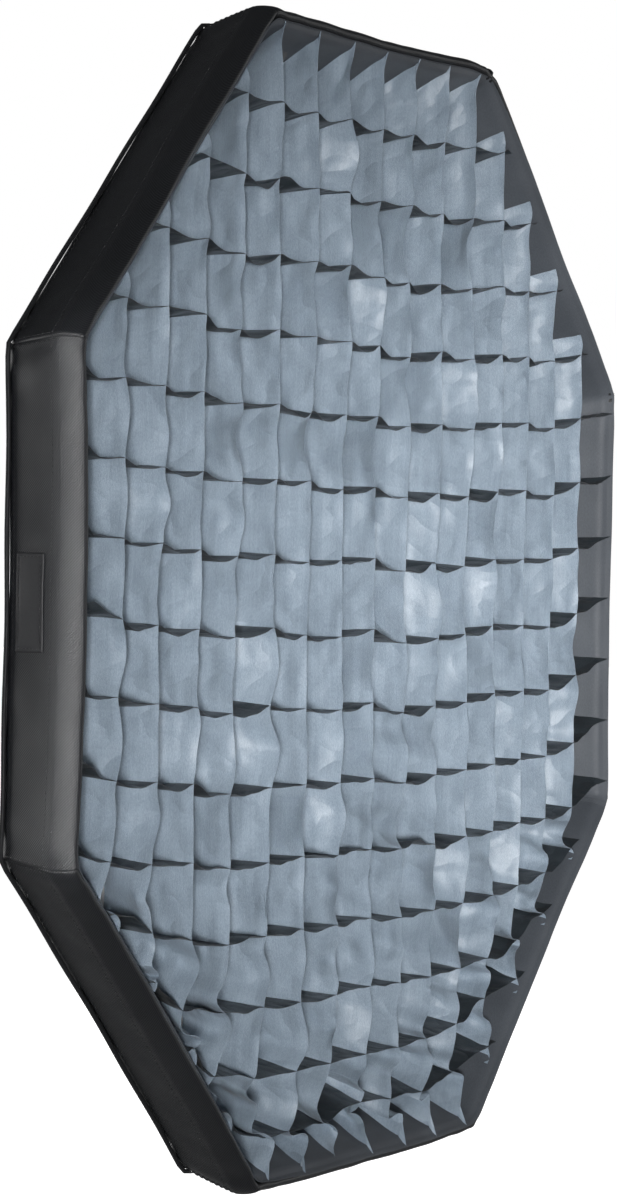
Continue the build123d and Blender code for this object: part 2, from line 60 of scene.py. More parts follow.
# ---------------------------------------------------------------- sizes, from the frame
# The light shines along -Y. "Depth" runs the same way, so depth = -y, and "apothem" lengths
# run from the axis to the middle of one of the eight sides.
SIDES = 8
HALF_TAN = math.tan(math.pi / SIDES)
REARWARD = np.array([0, 1, 0])
MM = 0.001
skirt_low, skirt_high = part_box("skirt_panel_1")
FRONT_A = skirt_high.x
LIP_D = -skirt_low.y
RIM_D = -skirt_high.y
SKIRT_T = 1.5 * MM
REAR_A = skirt_low.x + SKIRT_T
tape_low, tape_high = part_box("grid_loop_tape")
LIP_INNER_A = tape_high.x
NOSE_D = -tape_low.y
LIP_MID_A = (FRONT_A + LIP_INNER_A) / 2
border_low, border_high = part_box("grid_border")
GRID_FRONT_D, GRID_REAR_D = -border_low.y, -border_high.y
columns_low, columns_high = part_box("vertical_strips")
CELLS = 16
STRIP_T = 0.6 * MM
PITCH = (columns_high.x - columns_low.x - STRIP_T) / (CELLS - 2)
GRID_A = columns_high.z
shell_low, shell_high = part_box("shell_panel_1")
THROAT_D = -shell_high.y
THROAT_A = shell_low.x
SHELL_BOW = 5.0 * MM
SHARP_TURN = math.radians(50)

EDGE_BOW = 5.0 * MM          # sides drawn in between the corners by the stretched cloth
SIDE_BOW = {1: 0.5 * MM, 2: 2.5 * MM, 3: 0.5 * MM, 4: 8.0 * MM, 6: -1.5 * MM, 7: 1.5 * MM}


# ---------------------------------------------------------------- mesh tools
def mesh_object(name, points, faces, uv=None):
    mesh = bpy.data.meshes.new(name)
    mesh.from_pydata([tuple(p) for p in points], [], [tuple(f) for f in faces])
    if uv is not None:
        layer = mesh.uv_layers.new(name="cloth")
        corners = np.zeros(len(mesh.loops), dtype=np.int32)
        mesh.loops.foreach_get("vertex_index", corners)
        layer.data.foreach_set("uv", np.asarray(uv, dtype=np.float32)[corners].ravel())
    mesh.polygons.foreach_set("use_smooth", [True] * len(mesh.polygons))
    mesh.update()
    obj = bpy.data.objects.new(name, mesh)
    bpy.context.scene.collection.objects.link(obj)
    return obj


def lattice(rows, columns, wrap=False, start=0, closed=False):
    """Quads of a lattice whose points run row by row.

    wrap joins the last column to the first, and closed the last row to the first."""
    faces = []
    for i in range(rows if closed else rows - 1):
        here, following = start + i * columns, start + (i + 1) % rows * columns
        for j in range(columns if wrap else columns - 1):
            k = (j + 1) % columns
            faces.append((here + j, here + k, following + k, following + j))
    return faces


def closed_faces(rows, columns, start=0):
    """Faces of a cloth given as two lattices, its outer and its inner face, with its four edges."""
    count = rows * columns
    faces = lattice(rows, columns, start=start)
    faces += [tuple(reversed(face)) for face in lattice(rows, columns, start=start + count)]
    rims = [(i * columns + a, 1, i == 0) for i in (0, rows - 1) for a in range(columns - 1)]
    rims += [(a * columns + j, columns, j > 0) for j in (0, columns - 1) for a in range(rows - 1)]
    for place, step, turn in rims:
        p, q = start + place, start + place + count
        face = (p, q, q + step, p + step)
        faces.append(tuple(reversed(face)) if turn else face)
    return faces


def side_axes(number):
    """Outward and sideways directions of one side of the octagon, or of a corner at a half."""
    angle = number * 2 * math.pi / SIDES
    x, z = math.cos(angle), math.sin(angle)
    return np.array([x, 0, z]), np.array([-z, 0, x])


def round_the_sides(steps):
    """Side after side, each with its number, its directions and shares from -1 up to 1."""
    for number in range(SIDES):
        out, aside = side_axes(number)
        for share in np.linspace(-1, 1, steps, endpoint=False):
            yield number, out, aside, share


def edge_bow(number, share):
    """How far a side is drawn in, at a share from -1 to 1 between its corners."""
    size = SIDE_BOW.get(number % SIDES, EDGE_BOW)
    skew = 0.25 if number % SIDES == 2 else 0.0
    return size * (1 - share**2) * (1 + skew * share)


def soft_noise(points, scale, seed):
    """Smooth noise from -1 to 1 at each point."""
    shift = Vector((seed * 7.31, seed * 3.17, seed * 5.73))
    return np.array([noise.noise(Vector(p) / scale + shift) for p in points])


def gauss(distance, width):
    """A smooth hump, 1 in its middle and 1/e at its width."""
    return np.exp(-(distance / width)**2)


def length_along(line):
    """The length of a line up to each of its points."""
    return np.concatenate([[0], np.cumsum(np.linalg.norm(np.diff(line, axis=0), axis=1))])


def add_modifier(obj, kind, **settings):
    modifier = obj.modifiers.new(kind.lower(), kind)
    for key, value in settings.items():
        setattr(modifier, key, value)
    return modifier


def apply_modifiers(obj):
    graph = bpy.context.evaluated_depsgraph_get()
    mesh = bpy.data.meshes.new_from_object(obj.evaluated_get(graph))
    obj.modifiers.clear()
    obj.data = mesh
    return obj


def thicken(obj, thickness, offset=0.0):
    add_modifier(obj, "SOLIDIFY", thickness=thickness, offset=offset)
    return apply_modifiers(obj)


def sharpen(obj):
    """Shades the edges that turn more than SHARP_TURN as edges."""
    obj.data.set_sharp_from_angle(angle=SHARP_TURN)
    return obj


# ---------------------------------------------------------------- materials
class Nodes:
    """A small helper for the node tree of a material or a world.

    A value that runs along a link is a (node, output) pair."""

    def __init__(self, owner, output="ShaderNodeOutputMaterial"):
        owner.use_nodes = True
        self.owner, self.tree = owner, owner.node_tree
        self.tree.nodes.clear()
        self.output = self.add(output)

    def add(self, kind, inputs=None, **settings):
        node = self.tree.nodes.new(kind)
        for key, value in settings.items():
            setattr(node, key, value)
        for key, value in (inputs or {}).items():
            node.inputs[key].default_value = value
        return node

    def link(self, source, target, socket):
        self.tree.links.new(source[0].outputs[source[1]], target.inputs[socket])

    def math(self, operation, a, b=None):
        """A math node of two values, each a number or a pair."""
        node = self.add("ShaderNodeMath", operation=operation)
        for index, value in enumerate((a, b)):
            if isinstance(value, tuple):
                self.link(value, node, index)
            elif value is not None:
                node.inputs[index].default_value = value
        return node, "Value"

    def plus(self, a, b):
        return self.math("ADD", a, b)

    def minus(self, a, b):
        return self.math("SUBTRACT", a, b)

    def times(self, a, b):
        return self.math("MULTIPLY", a, b)

    def ramp(self, value, low, high, result=(0, 1)):
        node = self.add("ShaderNodeMapRange", {"From Min": low, "From Max": high,
                                               "To Min": result[0], "To Max": result[1]})
        self.link(value, node, "Value")
        return node, "Result"

    def mix(self, share, a, b):
        node = self.add("ShaderNodeMix", data_type="RGBA")
        node.inputs["A"].default_value = (*a, 1)
        node.inputs["B"].default_value = (*b, 1)
        self.link(share, node, "Factor")
        return node, "Result"

    def noise(self, source, scale, detail=2.0, roughness=0.5):
        node = self.add("ShaderNodeTexNoise", {"Scale": scale, "Detail": detail, "Roughness": roughness})
        self.link(source, node, "Vector")
        return node, "Fac"

    def stretched_noise(self, source, scale, detail, roughness):
        """Noise with its own scale along each axis."""
        node = self.add("ShaderNodeMapping", {"Scale": (*scale, 1)})
        self.link(source, node, "Vector")
        return self.noise((node, "Vector"), 1.0, detail, roughness)

    def bump(self, height, distance, strength=1.0, below=None):
        node = self.add("ShaderNodeBump", {"Distance": distance, "Strength": strength})
        self.link(height, node, "Height")
        if below:
            self.link(below, node, "Normal")
        return node, "Normal"


MATERIALS = {}


def new_material(name, inputs):
    """A material's nodes and its shader, with these inputs set."""
    n = Nodes(bpy.data.materials.new(name))
    shader = n.add("ShaderNodeBsdfPrincipled", inputs)
    n.link((shader, "BSDF"), n.output, "Surface")
    MATERIALS[name] = n.owner
    return n, shader


def cloth_material(name, dark, light, thread, roughness=0.7, sheen=0.3, twill=False,
                   weave_depth=0.035, streak=0.0, specular=0.4, spread=(0.1, 0.85),
                   patch_size=9.0, crumple=0.0, weave_tone=0.22, patch_tone=0.45):
    """Woven cloth. The "cloth" UV map is in metres, so the threads keep their size.

    thread is the distance from one thread to the next, weave_depth a share of it, spread the
    tones at which the cloth is dark and light, and crumple the depth of the creases."""
    n, shader = new_material(name, {"Sheen Weight": sheen, "Sheen Roughness": 0.4,
                                    "Specular IOR Level": specular})
    where = (n.add("ShaderNodeUVMap", uv_map="cloth"), "UV")
    split = n.add("ShaderNodeSeparateXYZ")
    n.link(where, split, "Vector")
    turns = 2 * math.pi / thread
    drift = n.times(n.minus(n.noise(where, 60.0, 3.0), 0.5), 2.0)
    along = n.plus(n.times((split, "X"), turns), drift)
    across = n.plus(n.times((split, "Y"), turns), drift)
    if twill:
        rib = n.math("SINE", n.plus(along, across))
        cross = n.math("SINE", n.times(across, 2.0))
        weave = n.plus(n.times(rib, 0.7), n.times(cross, 0.3))
    else:
        weave = n.times(n.math("SINE", along), n.math("SINE", across))
    fibre = n.stretched_noise(where, (380, 1100), 4.0, 0.7)
    patch = n.noise(where, patch_size, 3.0, 0.55)
    tone = n.plus(n.times(weave, weave_tone), n.times(fibre, 0.45))
    tone = n.plus(tone, n.times(patch, patch_tone))
    if streak:
        line = n.stretched_noise(where, (14, 420), 2.0, 0.6)
        tone = n.plus(tone, n.times(n.minus(line, 0.5), streak))
    n.link(n.mix(n.ramp(tone, *spread), dark, light), shader, "Base Color")
    gloss = n.ramp(n.noise(where, 24.0, 2.0), 0.3, 0.7, (roughness - 0.06, roughness + 0.06))
    n.link(gloss, shader, "Roughness")
    relief = n.bump(patch, 0.6 * MM, 0.5, n.bump(weave, weave_depth * thread))
    if crumple:
        folds = n.stretched_noise(where, (17, 30), 1.5, 0.45)
        sharp = n.stretched_noise(where, (42, 26), 1.0, 0.4)
        ridge = n.math("ABSOLUTE", n.minus(sharp, 0.5))
        relief = n.bump(n.plus(folds, n.times(ridge, 0.55)), crumple, 1.0, relief)
    n.link(relief, shader, "Normal")


def hard_material(name, colour, roughness, metallic=1.0, grain=0.2, scale=400.0, coat=0.0):
    """Metal, plastic or rubber, with a colour and roughness that vary a little."""
    n, shader = new_material(name, {"Metallic": metallic, "Coat Weight": coat})
    where = (n.add("ShaderNodeTexCoord"), "Object")
    broad = n.noise(where, 30.0, 3.0)
    fine = n.noise(where, scale, 2.0, 0.6)
    tone = n.ramp(n.plus(n.times(broad, 0.6), n.times(fine, 0.4)), 0.3, 0.7)
    light = tuple(min(1.0, c * (1 + grain)) for c in colour)
    dark = tuple(c * (1 - grain) for c in colour)
    n.link(n.mix(tone, dark, light), shader, "Base Color")
    n.link(n.ramp(broad, 0, 1, (roughness - 0.07, roughness + 0.07)), shader, "Roughness")
    n.link(n.bump(fine, 0.05 * MM, 0.5), shader, "Normal")


cloth_material("skirt_cloth", (0.001, 0.001, 0.0013), (0.024, 0.026, 0.030), 2.2 * MM, roughness=0.40,
               sheen=0.0, twill=True, weave_depth=0.045, specular=0.42, spread=(-0.2, 1.3), weave_tone=1.0)
cloth_material("shell_cloth", (0.006, 0.006, 0.007), (0.034, 0.035, 0.039), 1.3 * MM, roughness=0.4,
               sheen=0.05, weave_depth=0.025, specular=0.3, spread=(0.1, 0.72), patch_tone=0.2)
cloth_material("binding_tape", (0.004, 0.004, 0.005), (0.024, 0.025, 0.027), 1.0 * MM, roughness=0.45,
               sheen=0.05, specular=0.3)
cloth_material("border_cloth", (0.045, 0.051, 0.060), (0.125, 0.138, 0.158), 1.2 * MM, roughness=0.5,
               sheen=0.05, specular=0.3, spread=(0.25, 0.75))
cloth_material("grid_cloth", (0.15, 0.195, 0.245), (0.43, 0.515, 0.605), 0.5 * MM, roughness=0.41,
               sheen=0.05, streak=0.14, specular=0.6, spread=(0.16, 0.60), patch_size=38.0,
               crumple=9.5 * MM, patch_tone=0.25)
# The rows are seen as dark wedges, so they get a nearly black copy of the grid cloth of their own: painted
# shade, since they are the same cloth as the columns and look dark only because their sides lie in shade.
cloth_material("grid_cloth_rows_painted_shade", (0.014, 0.018, 0.021), (0.045, 0.055, 0.064), 0.5 * MM, roughness=0.4,
               sheen=0.02, streak=0.12, spread=(0.12, 0.66), patch_size=38.0, crumple=12.0 * MM,
               patch_tone=0.25)
cloth_material("lining_cloth", (0.42, 0.43, 0.44), (0.72, 0.73, 0.75), 0.7 * MM, roughness=0.38,
               sheen=0.0, specular=0.8)
cloth_material("diffuser_cloth", (0.74, 0.74, 0.73), (0.86, 0.86, 0.86), 0.6 * MM, roughness=0.75, sheen=0.1)
cloth_material("elastic_tape", (0.60, 0.60, 0.59), (0.82, 0.82, 0.80), 0.9 * MM, sheen=0.1)
cloth_material("hook_loop_tape", (0.008, 0.008, 0.009), (0.035, 0.036, 0.039), 1.1 * MM, roughness=0.9,
               sheen=0.5)
cloth_material("pocket_web", (0.012, 0.012, 0.013), (0.034, 0.035, 0.038), 1.3 * MM, roughness=0.6, sheen=0.2)
cloth_material("patch_cloth", (0.006, 0.006, 0.007), (0.040, 0.041, 0.045), 1.1 * MM, roughness=0.45,
               sheen=0.05, specular=0.5, spread=(0.2, 0.8))
cloth_material("thread", (0.006, 0.006, 0.007), (0.024, 0.025, 0.027), 0.6 * MM, roughness=0.5, sheen=0.2)
hard_material("insert_metal", (0.42, 0.43, 0.45), 0.38)
hard_material("hub_metal", (0.030, 0.030, 0.033), 0.45, metallic=0.0, grain=0.3, scale=1500.0)
hard_material("fastener_steel", (0.45, 0.45, 0.46), 0.3)
hard_material("ferrule_metal", (0.55, 0.56, 0.58), 0.32)
hard_material("rod_glass_fibre", (0.62, 0.62, 0.52), 0.35, metallic=0.0, grain=0.08, coat=0.4)
hard_material("tip_rubber", (0.02, 0.02, 0.02), 0.75, metallic=0.0)
hard_material("knob_plastic", (0.022, 0.022, 0.024), 0.5, metallic=0.0, grain=0.25, scale=2500.0)
# Slots whose look is another slot's.
SLOT_LOOK = {"collar_cloth": "shell_cloth", "baffle_cloth": "diffuser_cloth"}


def dress(obj, slot, body, *nodes, look=None):
    """Gives a piece the material of its slot, or of the look it borrows, hides the CAD nodes that it stands
    for and puts it in its body.
    """
    obj.data.materials.clear()
    obj.data.materials.append(MATERIALS[look or SLOT_LOOK.get(slot, slot)])
    if nodes:
        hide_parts(*nodes)
    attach(obj, body)
    return obj


# ---------------------------------------------------------------- skirt and lip
TOPSTITCH_D = NOSE_D - 7 * MM       # the two rows of stitches that run round the skirt
RIM_STITCH_D = RIM_D + 5 * MM
SEAM_STITCH = 3.4 * MM              # from a seam to the stitches beside it
PATCH_SIDE = 4                      # faces -X
PATCH_STITCH = 3 * MM               # from the patch's edge to its stitches
# Gathered corners, each as a side and its end.
PUCKERS = {(2, -1): 5 * MM, (1, 1): 3 * MM, (0, 1): 4 * MM, (1, -1): 3 * MM}
# The panels' points stand closer together towards the corners.
PANEL_SHARES = np.sin(np.linspace(-1, 1, 131) * math.pi / 2) * 0.35 + np.linspace(-1, 1, 131) * 0.65
OUTER_POINTS = 40                   # points of the outline that lie outside or on the nose


def lip_outline():
    """(apothem, depth) points round the skirt's cross-section: out, over the nose, and back."""
    rear_share = np.linspace(0, 1, 15)
    outer = [(REAR_A + (FRONT_A - REAR_A) * s**0.9, RIM_D + (NOSE_D - RIM_D) * s) for s in rear_share]
    turn = np.linspace(0, math.pi, 27)[1:-1]
    half = (FRONT_A - LIP_INNER_A) / 2
    nose = [(LIP_MID_A + half * np.sign(math.cos(a)) * abs(math.cos(a))**0.85,
             NOSE_D + (LIP_D - NOSE_D) * math.sin(a)) for a in turn]
    inner_end = RIM_D + 12.5 * MM
    inner = [(LIP_INNER_A, NOSE_D + (inner_end - NOSE_D) * s) for s in np.linspace(0, 1, 10)]
    close = [(REAR_A - SKIRT_T * 0.6, RIM_D)]
    return np.array(outer + nose + inner + close)


def skirt_points(number, share, apothem, depth, outer):
    """Points of the skirt at these shares between its corners, drawn in, puckered and creased.

    outer is 1 on the outside and the nose, and 0 where the lip lies against the grid."""
    share, apothem, depth, outer = np.broadcast_arrays(share, apothem, depth, outer)
    out, aside = side_axes(number)
    half_side = apothem * HALF_TAN
    from_corner = (1 - np.abs(share)) * half_side
    forward = np.clip((depth - RIM_D) / (LIP_D - RIM_D), 0, 1)
    fade = np.clip(from_corner / (3 * MM), 0, 1)
    away = np.clip(from_corner / (18 * MM), 0, 1)
    rounding = 1.5 * MM * gauss(from_corner, 7 * MM)
    seam = 1.1 * MM * gauss(from_corner, 1.2 * MM) * outer
    ridge = 0.35 * MM * gauss(from_corner - 3.2 * MM, 1.6 * MM) * outer
    phase = number * 2.1 + forward * 2.2
    fold = 0.8 * MM * np.exp(-from_corner / (26 * MM)) * np.sin(from_corner / (5.2 * MM) + phase)
    topstitch = gauss(depth - TOPSTITCH_D, 1.0 * MM) + gauss(depth - RIM_STITCH_D, 1.0 * MM)
    pull = 0.14 * MM * topstitch * outer * (1 + 0.4 * np.sin(share * half_side / (1.6 * MM)))
    radial = apothem - edge_bow(number, share) * (0.35 + 0.65 * forward) - rounding - seam + ridge
    radial = radial + fold * fade - pull
    points = radial[..., None] * out + (share * half_side)[..., None] * aside
    points[..., 1] = -depth
    flat = points.reshape(-1, 3)
    slow = soft_noise(flat, 0.11, number + 1) * 2.0 * MM + soft_noise(flat, 0.032, number + 20) * 0.8 * MM
    slow = slow.reshape(share.shape) * np.clip(forward * 3, 0.15, 1) * away * outer
    rock = soft_noise(flat, 0.09, number + 40).reshape(share.shape) * 1.2 * MM
    rock = rock * np.clip(forward * 3, 0, 1) * away
    pucker = sum(PUCKERS.get((number, end), 0) * gauss((1 - end * share) * half_side, 16 * MM)
                 for end in (-1, 1))
    crease = np.sin(from_corner / (2.6 * MM)) * 0.5 + 0.5
    slow = slow - pucker * forward * (0.6 + 0.4 * crease) * fade
    points = points + slow[..., None] * out
    points[..., 1] += rock
    return points


def wall_apothem(depth):
    return REAR_A + (FRONT_A - REAR_A) * np.clip((depth - RIM_D) / (NOSE_D - RIM_D), 0, 1)**0.9


def skirt_panel(number):
    outline = lip_outline()
    outer = (np.arange(len(outline)) < OUTER_POINTS).astype(float)
    points = skirt_points(number, PANEL_SHARES[:, None], outline[:, 0], outline[:, 1], outer)
    length = length_along(outline)
    place = PANEL_SHARES[:, None] * outline[None, :, 0] * HALF_TAN + number * 0.7
    uv = np.stack([place, np.broadcast_to(length[None, :], place.shape)], -1)
    count = len(outline)
    faces = lattice(len(PANEL_SHARES), count, wrap=True)
    faces.append(tuple(range(count - 1, -1, -1)))
    faces.append(tuple(range((len(PANEL_SHARES) - 1) * count, len(PANEL_SHARES) * count)))
    return mesh_object(f"skirt_and_lip_{number + 1}", points.reshape(-1, 3), faces, uv.reshape(-1, 2))


STITCH_SIDES, STITCH_R = 5, 0.32 * MM
# Place along the stitch, size and lift of its rings of points.
STITCH_RINGS = [(-0.5, 0.25, -0.4), (-0.25, 1.0, 0.2), (0.25, 1.0, 0.2), (0.5, 0.25, -0.4)]


def stitches(name, lines, spacing=5.2 * MM, length=3.6 * MM):
    """Short raised threads along lines, each given as its points and its outward direction."""
    points, faces, uv = [], [], []
    turn = np.linspace(0, 2 * math.pi, STITCH_SIDES, endpoint=False)
    for line, up in lines:
        run = length_along(line)
        for at in np.arange(spacing / 2, run[-1], spacing):
            middle, beyond = (np.array([np.interp(place, run, line[:, k]) for k in range(3)])
                              for place in (at, min(at + 1 * MM, run[-1])))
            ahead = (beyond - middle) / (np.linalg.norm(beyond - middle) + 1e-9)
            side = np.cross(ahead, up)
            first = len(points)
            for share, size, lift in STITCH_RINGS:
                for a in turn:
                    raised = up * (lift + math.cos(a) * size) + side * math.sin(a) * size
                    points.append(middle + ahead * share * length + raised * STITCH_R)
                    uv.append((share * length, a * STITCH_R))
            faces += lattice(len(STITCH_RINGS), STITCH_SIDES, wrap=True, start=first)
            faces.append(tuple(reversed(range(first, first + STITCH_SIDES))))
            faces.append(tuple(range(len(points) - STITCH_SIDES, len(points))))
    dress(mesh_object(name, points, faces, uv), "binding_tape", "box", look="thread")


def make_skirt():
    share = np.linspace(-1, 1, 121)
    height = np.linspace(RIM_D + 2 * MM, NOSE_D - 1 * MM, 12)
    apothem = wall_apothem(height)
    lines = []
    for number in range(SIDES):
        panel = dress(skirt_panel(number), "skirt_cloth", "box", f"skirt_panel_{number + 1}", "lip_padding")
        out, _ = side_axes(number)
        for depth in (RIM_STITCH_D, TOPSTITCH_D):
            lines.append((skirt_points(number, share, wall_apothem(depth), depth, 1.0), out))
        for end in (-1, 1):
            line = skirt_points(number, end * (1 - SEAM_STITCH / (apothem * HALF_TAN)), apothem, height, 1.0)
            lines.append((line + 0.1 * MM * out, out))
    stitches("skirt_stitches", lines)


def make_patch():
    """A blank cloth patch, sewn on the side that faces -X."""
    low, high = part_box("blank_patch")
    near, far = -high.y, -low.y
    half = (high.z - low.z) / 2
    out, _ = side_axes(PATCH_SIDE)

    def on_wall(along, depth):
        wall = wall_apothem(depth)
        return skirt_points(PATCH_SIDE, along / (wall * HALF_TAN), wall, depth, 1.0)

    rows, columns = 29, 61
    depth = np.linspace(near, far, rows)[:, None]
    along = np.linspace(-half, half, columns)[None, :]
    edge = np.minimum(np.minimum(depth - near, far - depth), half - np.abs(along))
    lift = 0.75 * MM * (1 - gauss(edge, 0.9 * MM)) + 0.1 * MM
    lift = lift - 0.35 * MM * gauss(edge - PATCH_STITCH, 0.8 * MM)
    points = on_wall(along, depth) + lift[..., None] * out
    uv = np.stack([np.broadcast_to(along, lift.shape) + 0.31, np.broadcast_to(depth, lift.shape)], -1)
    patch = mesh_object("blank_patch_cloth", points.reshape(-1, 3), lattice(rows, columns), uv.reshape(-1, 2))
    looks_out = patch.data.polygons[0].normal.dot(Vector(out)) > 0
    thicken(patch, 0.5 * MM, -1.0 if looks_out else 1.0)
    dress(patch, "patch_cloth", "box", "blank_patch")
    near, far, half = near + PATCH_STITCH, far - PATCH_STITCH, half - PATCH_STITCH
    long_way, short_way = np.linspace(-half, half, 40), np.linspace(near, far, 14)
    rounds = [(long_way, np.full(40, near)), (long_way, np.full(40, far)),
              (np.full(14, -half), short_way), (np.full(14, half), short_way)]
    lines = [(on_wall(along, depth) + 0.75 * MM * out, out) for along, depth in rounds]
    stitches("patch_stitches", lines, spacing=3.6 * MM, length=2.6 * MM)


def make_piping():
    """A soft cord sewn round the rim."""
    segments, steps = 10, 36
    radius = 1.9 * MM
    apothem, depth = REAR_A + radius, RIM_D - 0.6 * MM
    half_side = apothem * HALF_TAN
    turn = np.linspace(0, 2 * math.pi, segments, endpoint=False)
    points, uv = [], []
    total = 0.0
    for number, out, aside, share in round_the_sides(steps):
        rounding = 1.6 * MM * gauss((1 - abs(share)) * half_side, 6 * MM)
        middle = (apothem - edge_bow(number, share) * 0.35 - rounding) * out + share * half_side * aside
        middle[1] = -depth + 0.5 * MM * math.sin(share * 9 + number)
        for a in turn:
            points.append(middle + radius * (math.cos(a) * out + math.sin(a) * REARWARD))
            uv.append((total, a * radius))
        total += 2 * half_side / steps
    faces = lattice(SIDES * steps, segments, wrap=True, closed=True)
    dress(mesh_object("rim_cord", points, faces, uv), "binding_tape", "box", "rim_piping")


# ---------------------------------------------------------------- grid
CELL_STEPS = 6               # faces along a cell's wall, and from its rear to its front
DEPTH_STEPS = 6
FLATTER_ROWS = 0.45          # the rows hang straighter than the columns
EDGE_CLEAR = 1.0 * MM        # the border's turned edge above the nose it lies on
EDGE_START = math.asin(0.78)            # how far round the nose the turned edge starts
EDGE_SHORT, EDGE_LONG = 58, 84          # degrees over the nose: near sides, far sides
COVERED_CENTRE = math.radians(-22.5)    # middle of the sides where the edge lies further out
SEED_BULGE = 6.0 * MM        # size of the first folds, which the cloth run then settles
END_CELL = np.array([0.7, 0.9, 0.1, 0.0])    # the columns' last cells all bulge the same way
DRAW_SIDES, DRAW_TOP = 12 * MM, 30 * MM      # how far the band's rear edge is drawn in
SIM_FRAMES = 22


def drawn_in(points):
    """The cloth's straight points with the rear of the grid drawn in towards the axis."""
    points = np.array(points)
    x, depth, z = points[:, 0], -points[:, 1], points[:, 2]
    angle = np.arctan2(z, x)
    side = np.round(angle / (math.pi / 4)) * math.pi / 4
    reach = np.hypot(x, z) * np.cos(angle - side) / GRID_A
    back = np.clip((GRID_FRONT_D - 4 * MM - depth) / (GRID_FRONT_D - GRID_REAR_D), 0, 1)
    size = (DRAW_SIDES + (DRAW_TOP - DRAW_SIDES) * np.sin(angle)**2) * back * np.clip(reach, 0, 1)**7
    points[:, 0] -= size * np.cos(angle)
    points[:, 2] -= size * np.sin(angle)
    return points


def band_stops():
    """Positions round the border at which a strip ends or a fold needs a point: (side, share) pairs."""
    half = GRID_A * HALF_TAN
    stops = {side: [-half, half] for side in range(SIDES)}
    for number in range(1, CELLS):
        height = (number - CELLS / 2) * PITCH
        if abs(height) < half:
            for side in range(0, SIDES, 2):
                stops[side].append(height)
        # A strip at this height meets the slanted side twice: as a row and as a column.
        along = abs(height) * math.sqrt(2) - GRID_A
        if abs(along) < half:
            for side in range(1, SIDES, 2):
                stops[side] += [-along, along]
    result = []
    for side in range(SIDES):
        knots = sorted(set(round(s, 6) for s in stops[side]))
        for a, b in zip(knots, knots[1:]):
            steps = max(2, round((b - a) / (PITCH / CELL_STEPS)))
            result += [(side, (a + (b - a) * k / steps) / half) for k in range(steps)]
    return result


def ribbon(columns, first=0, last=DEPTH_STEPS, closed=False):
    """Faces between neighbouring columns of point numbers, from one layer to another."""
    following = columns[1:] + columns[:1] if closed else columns[1:]
    return [(a[k], b[k], b[k + 1], a[k + 1]) for a, b in zip(columns, following) for k in range(first, last)]


def placed(kind, at, off):
    """The x and z of a place along a row or a column and off the axis across it."""
    return (at, off) if kind == "horizontal" else (off, at)


def bulge(wall, u, v):
    """How far a cell's wall starts off its line, at shares along it and from rear to front."""
    size = (wall[0] * (1 - v) + wall[1] * v) * math.sin(math.pi * u)
    size += 0.6 * wall[2] * math.sin(2 * math.pi * u)
    size += 0.4 * wall[3] * math.sin(3 * math.pi * u) * v
    return SEED_BULGE * size


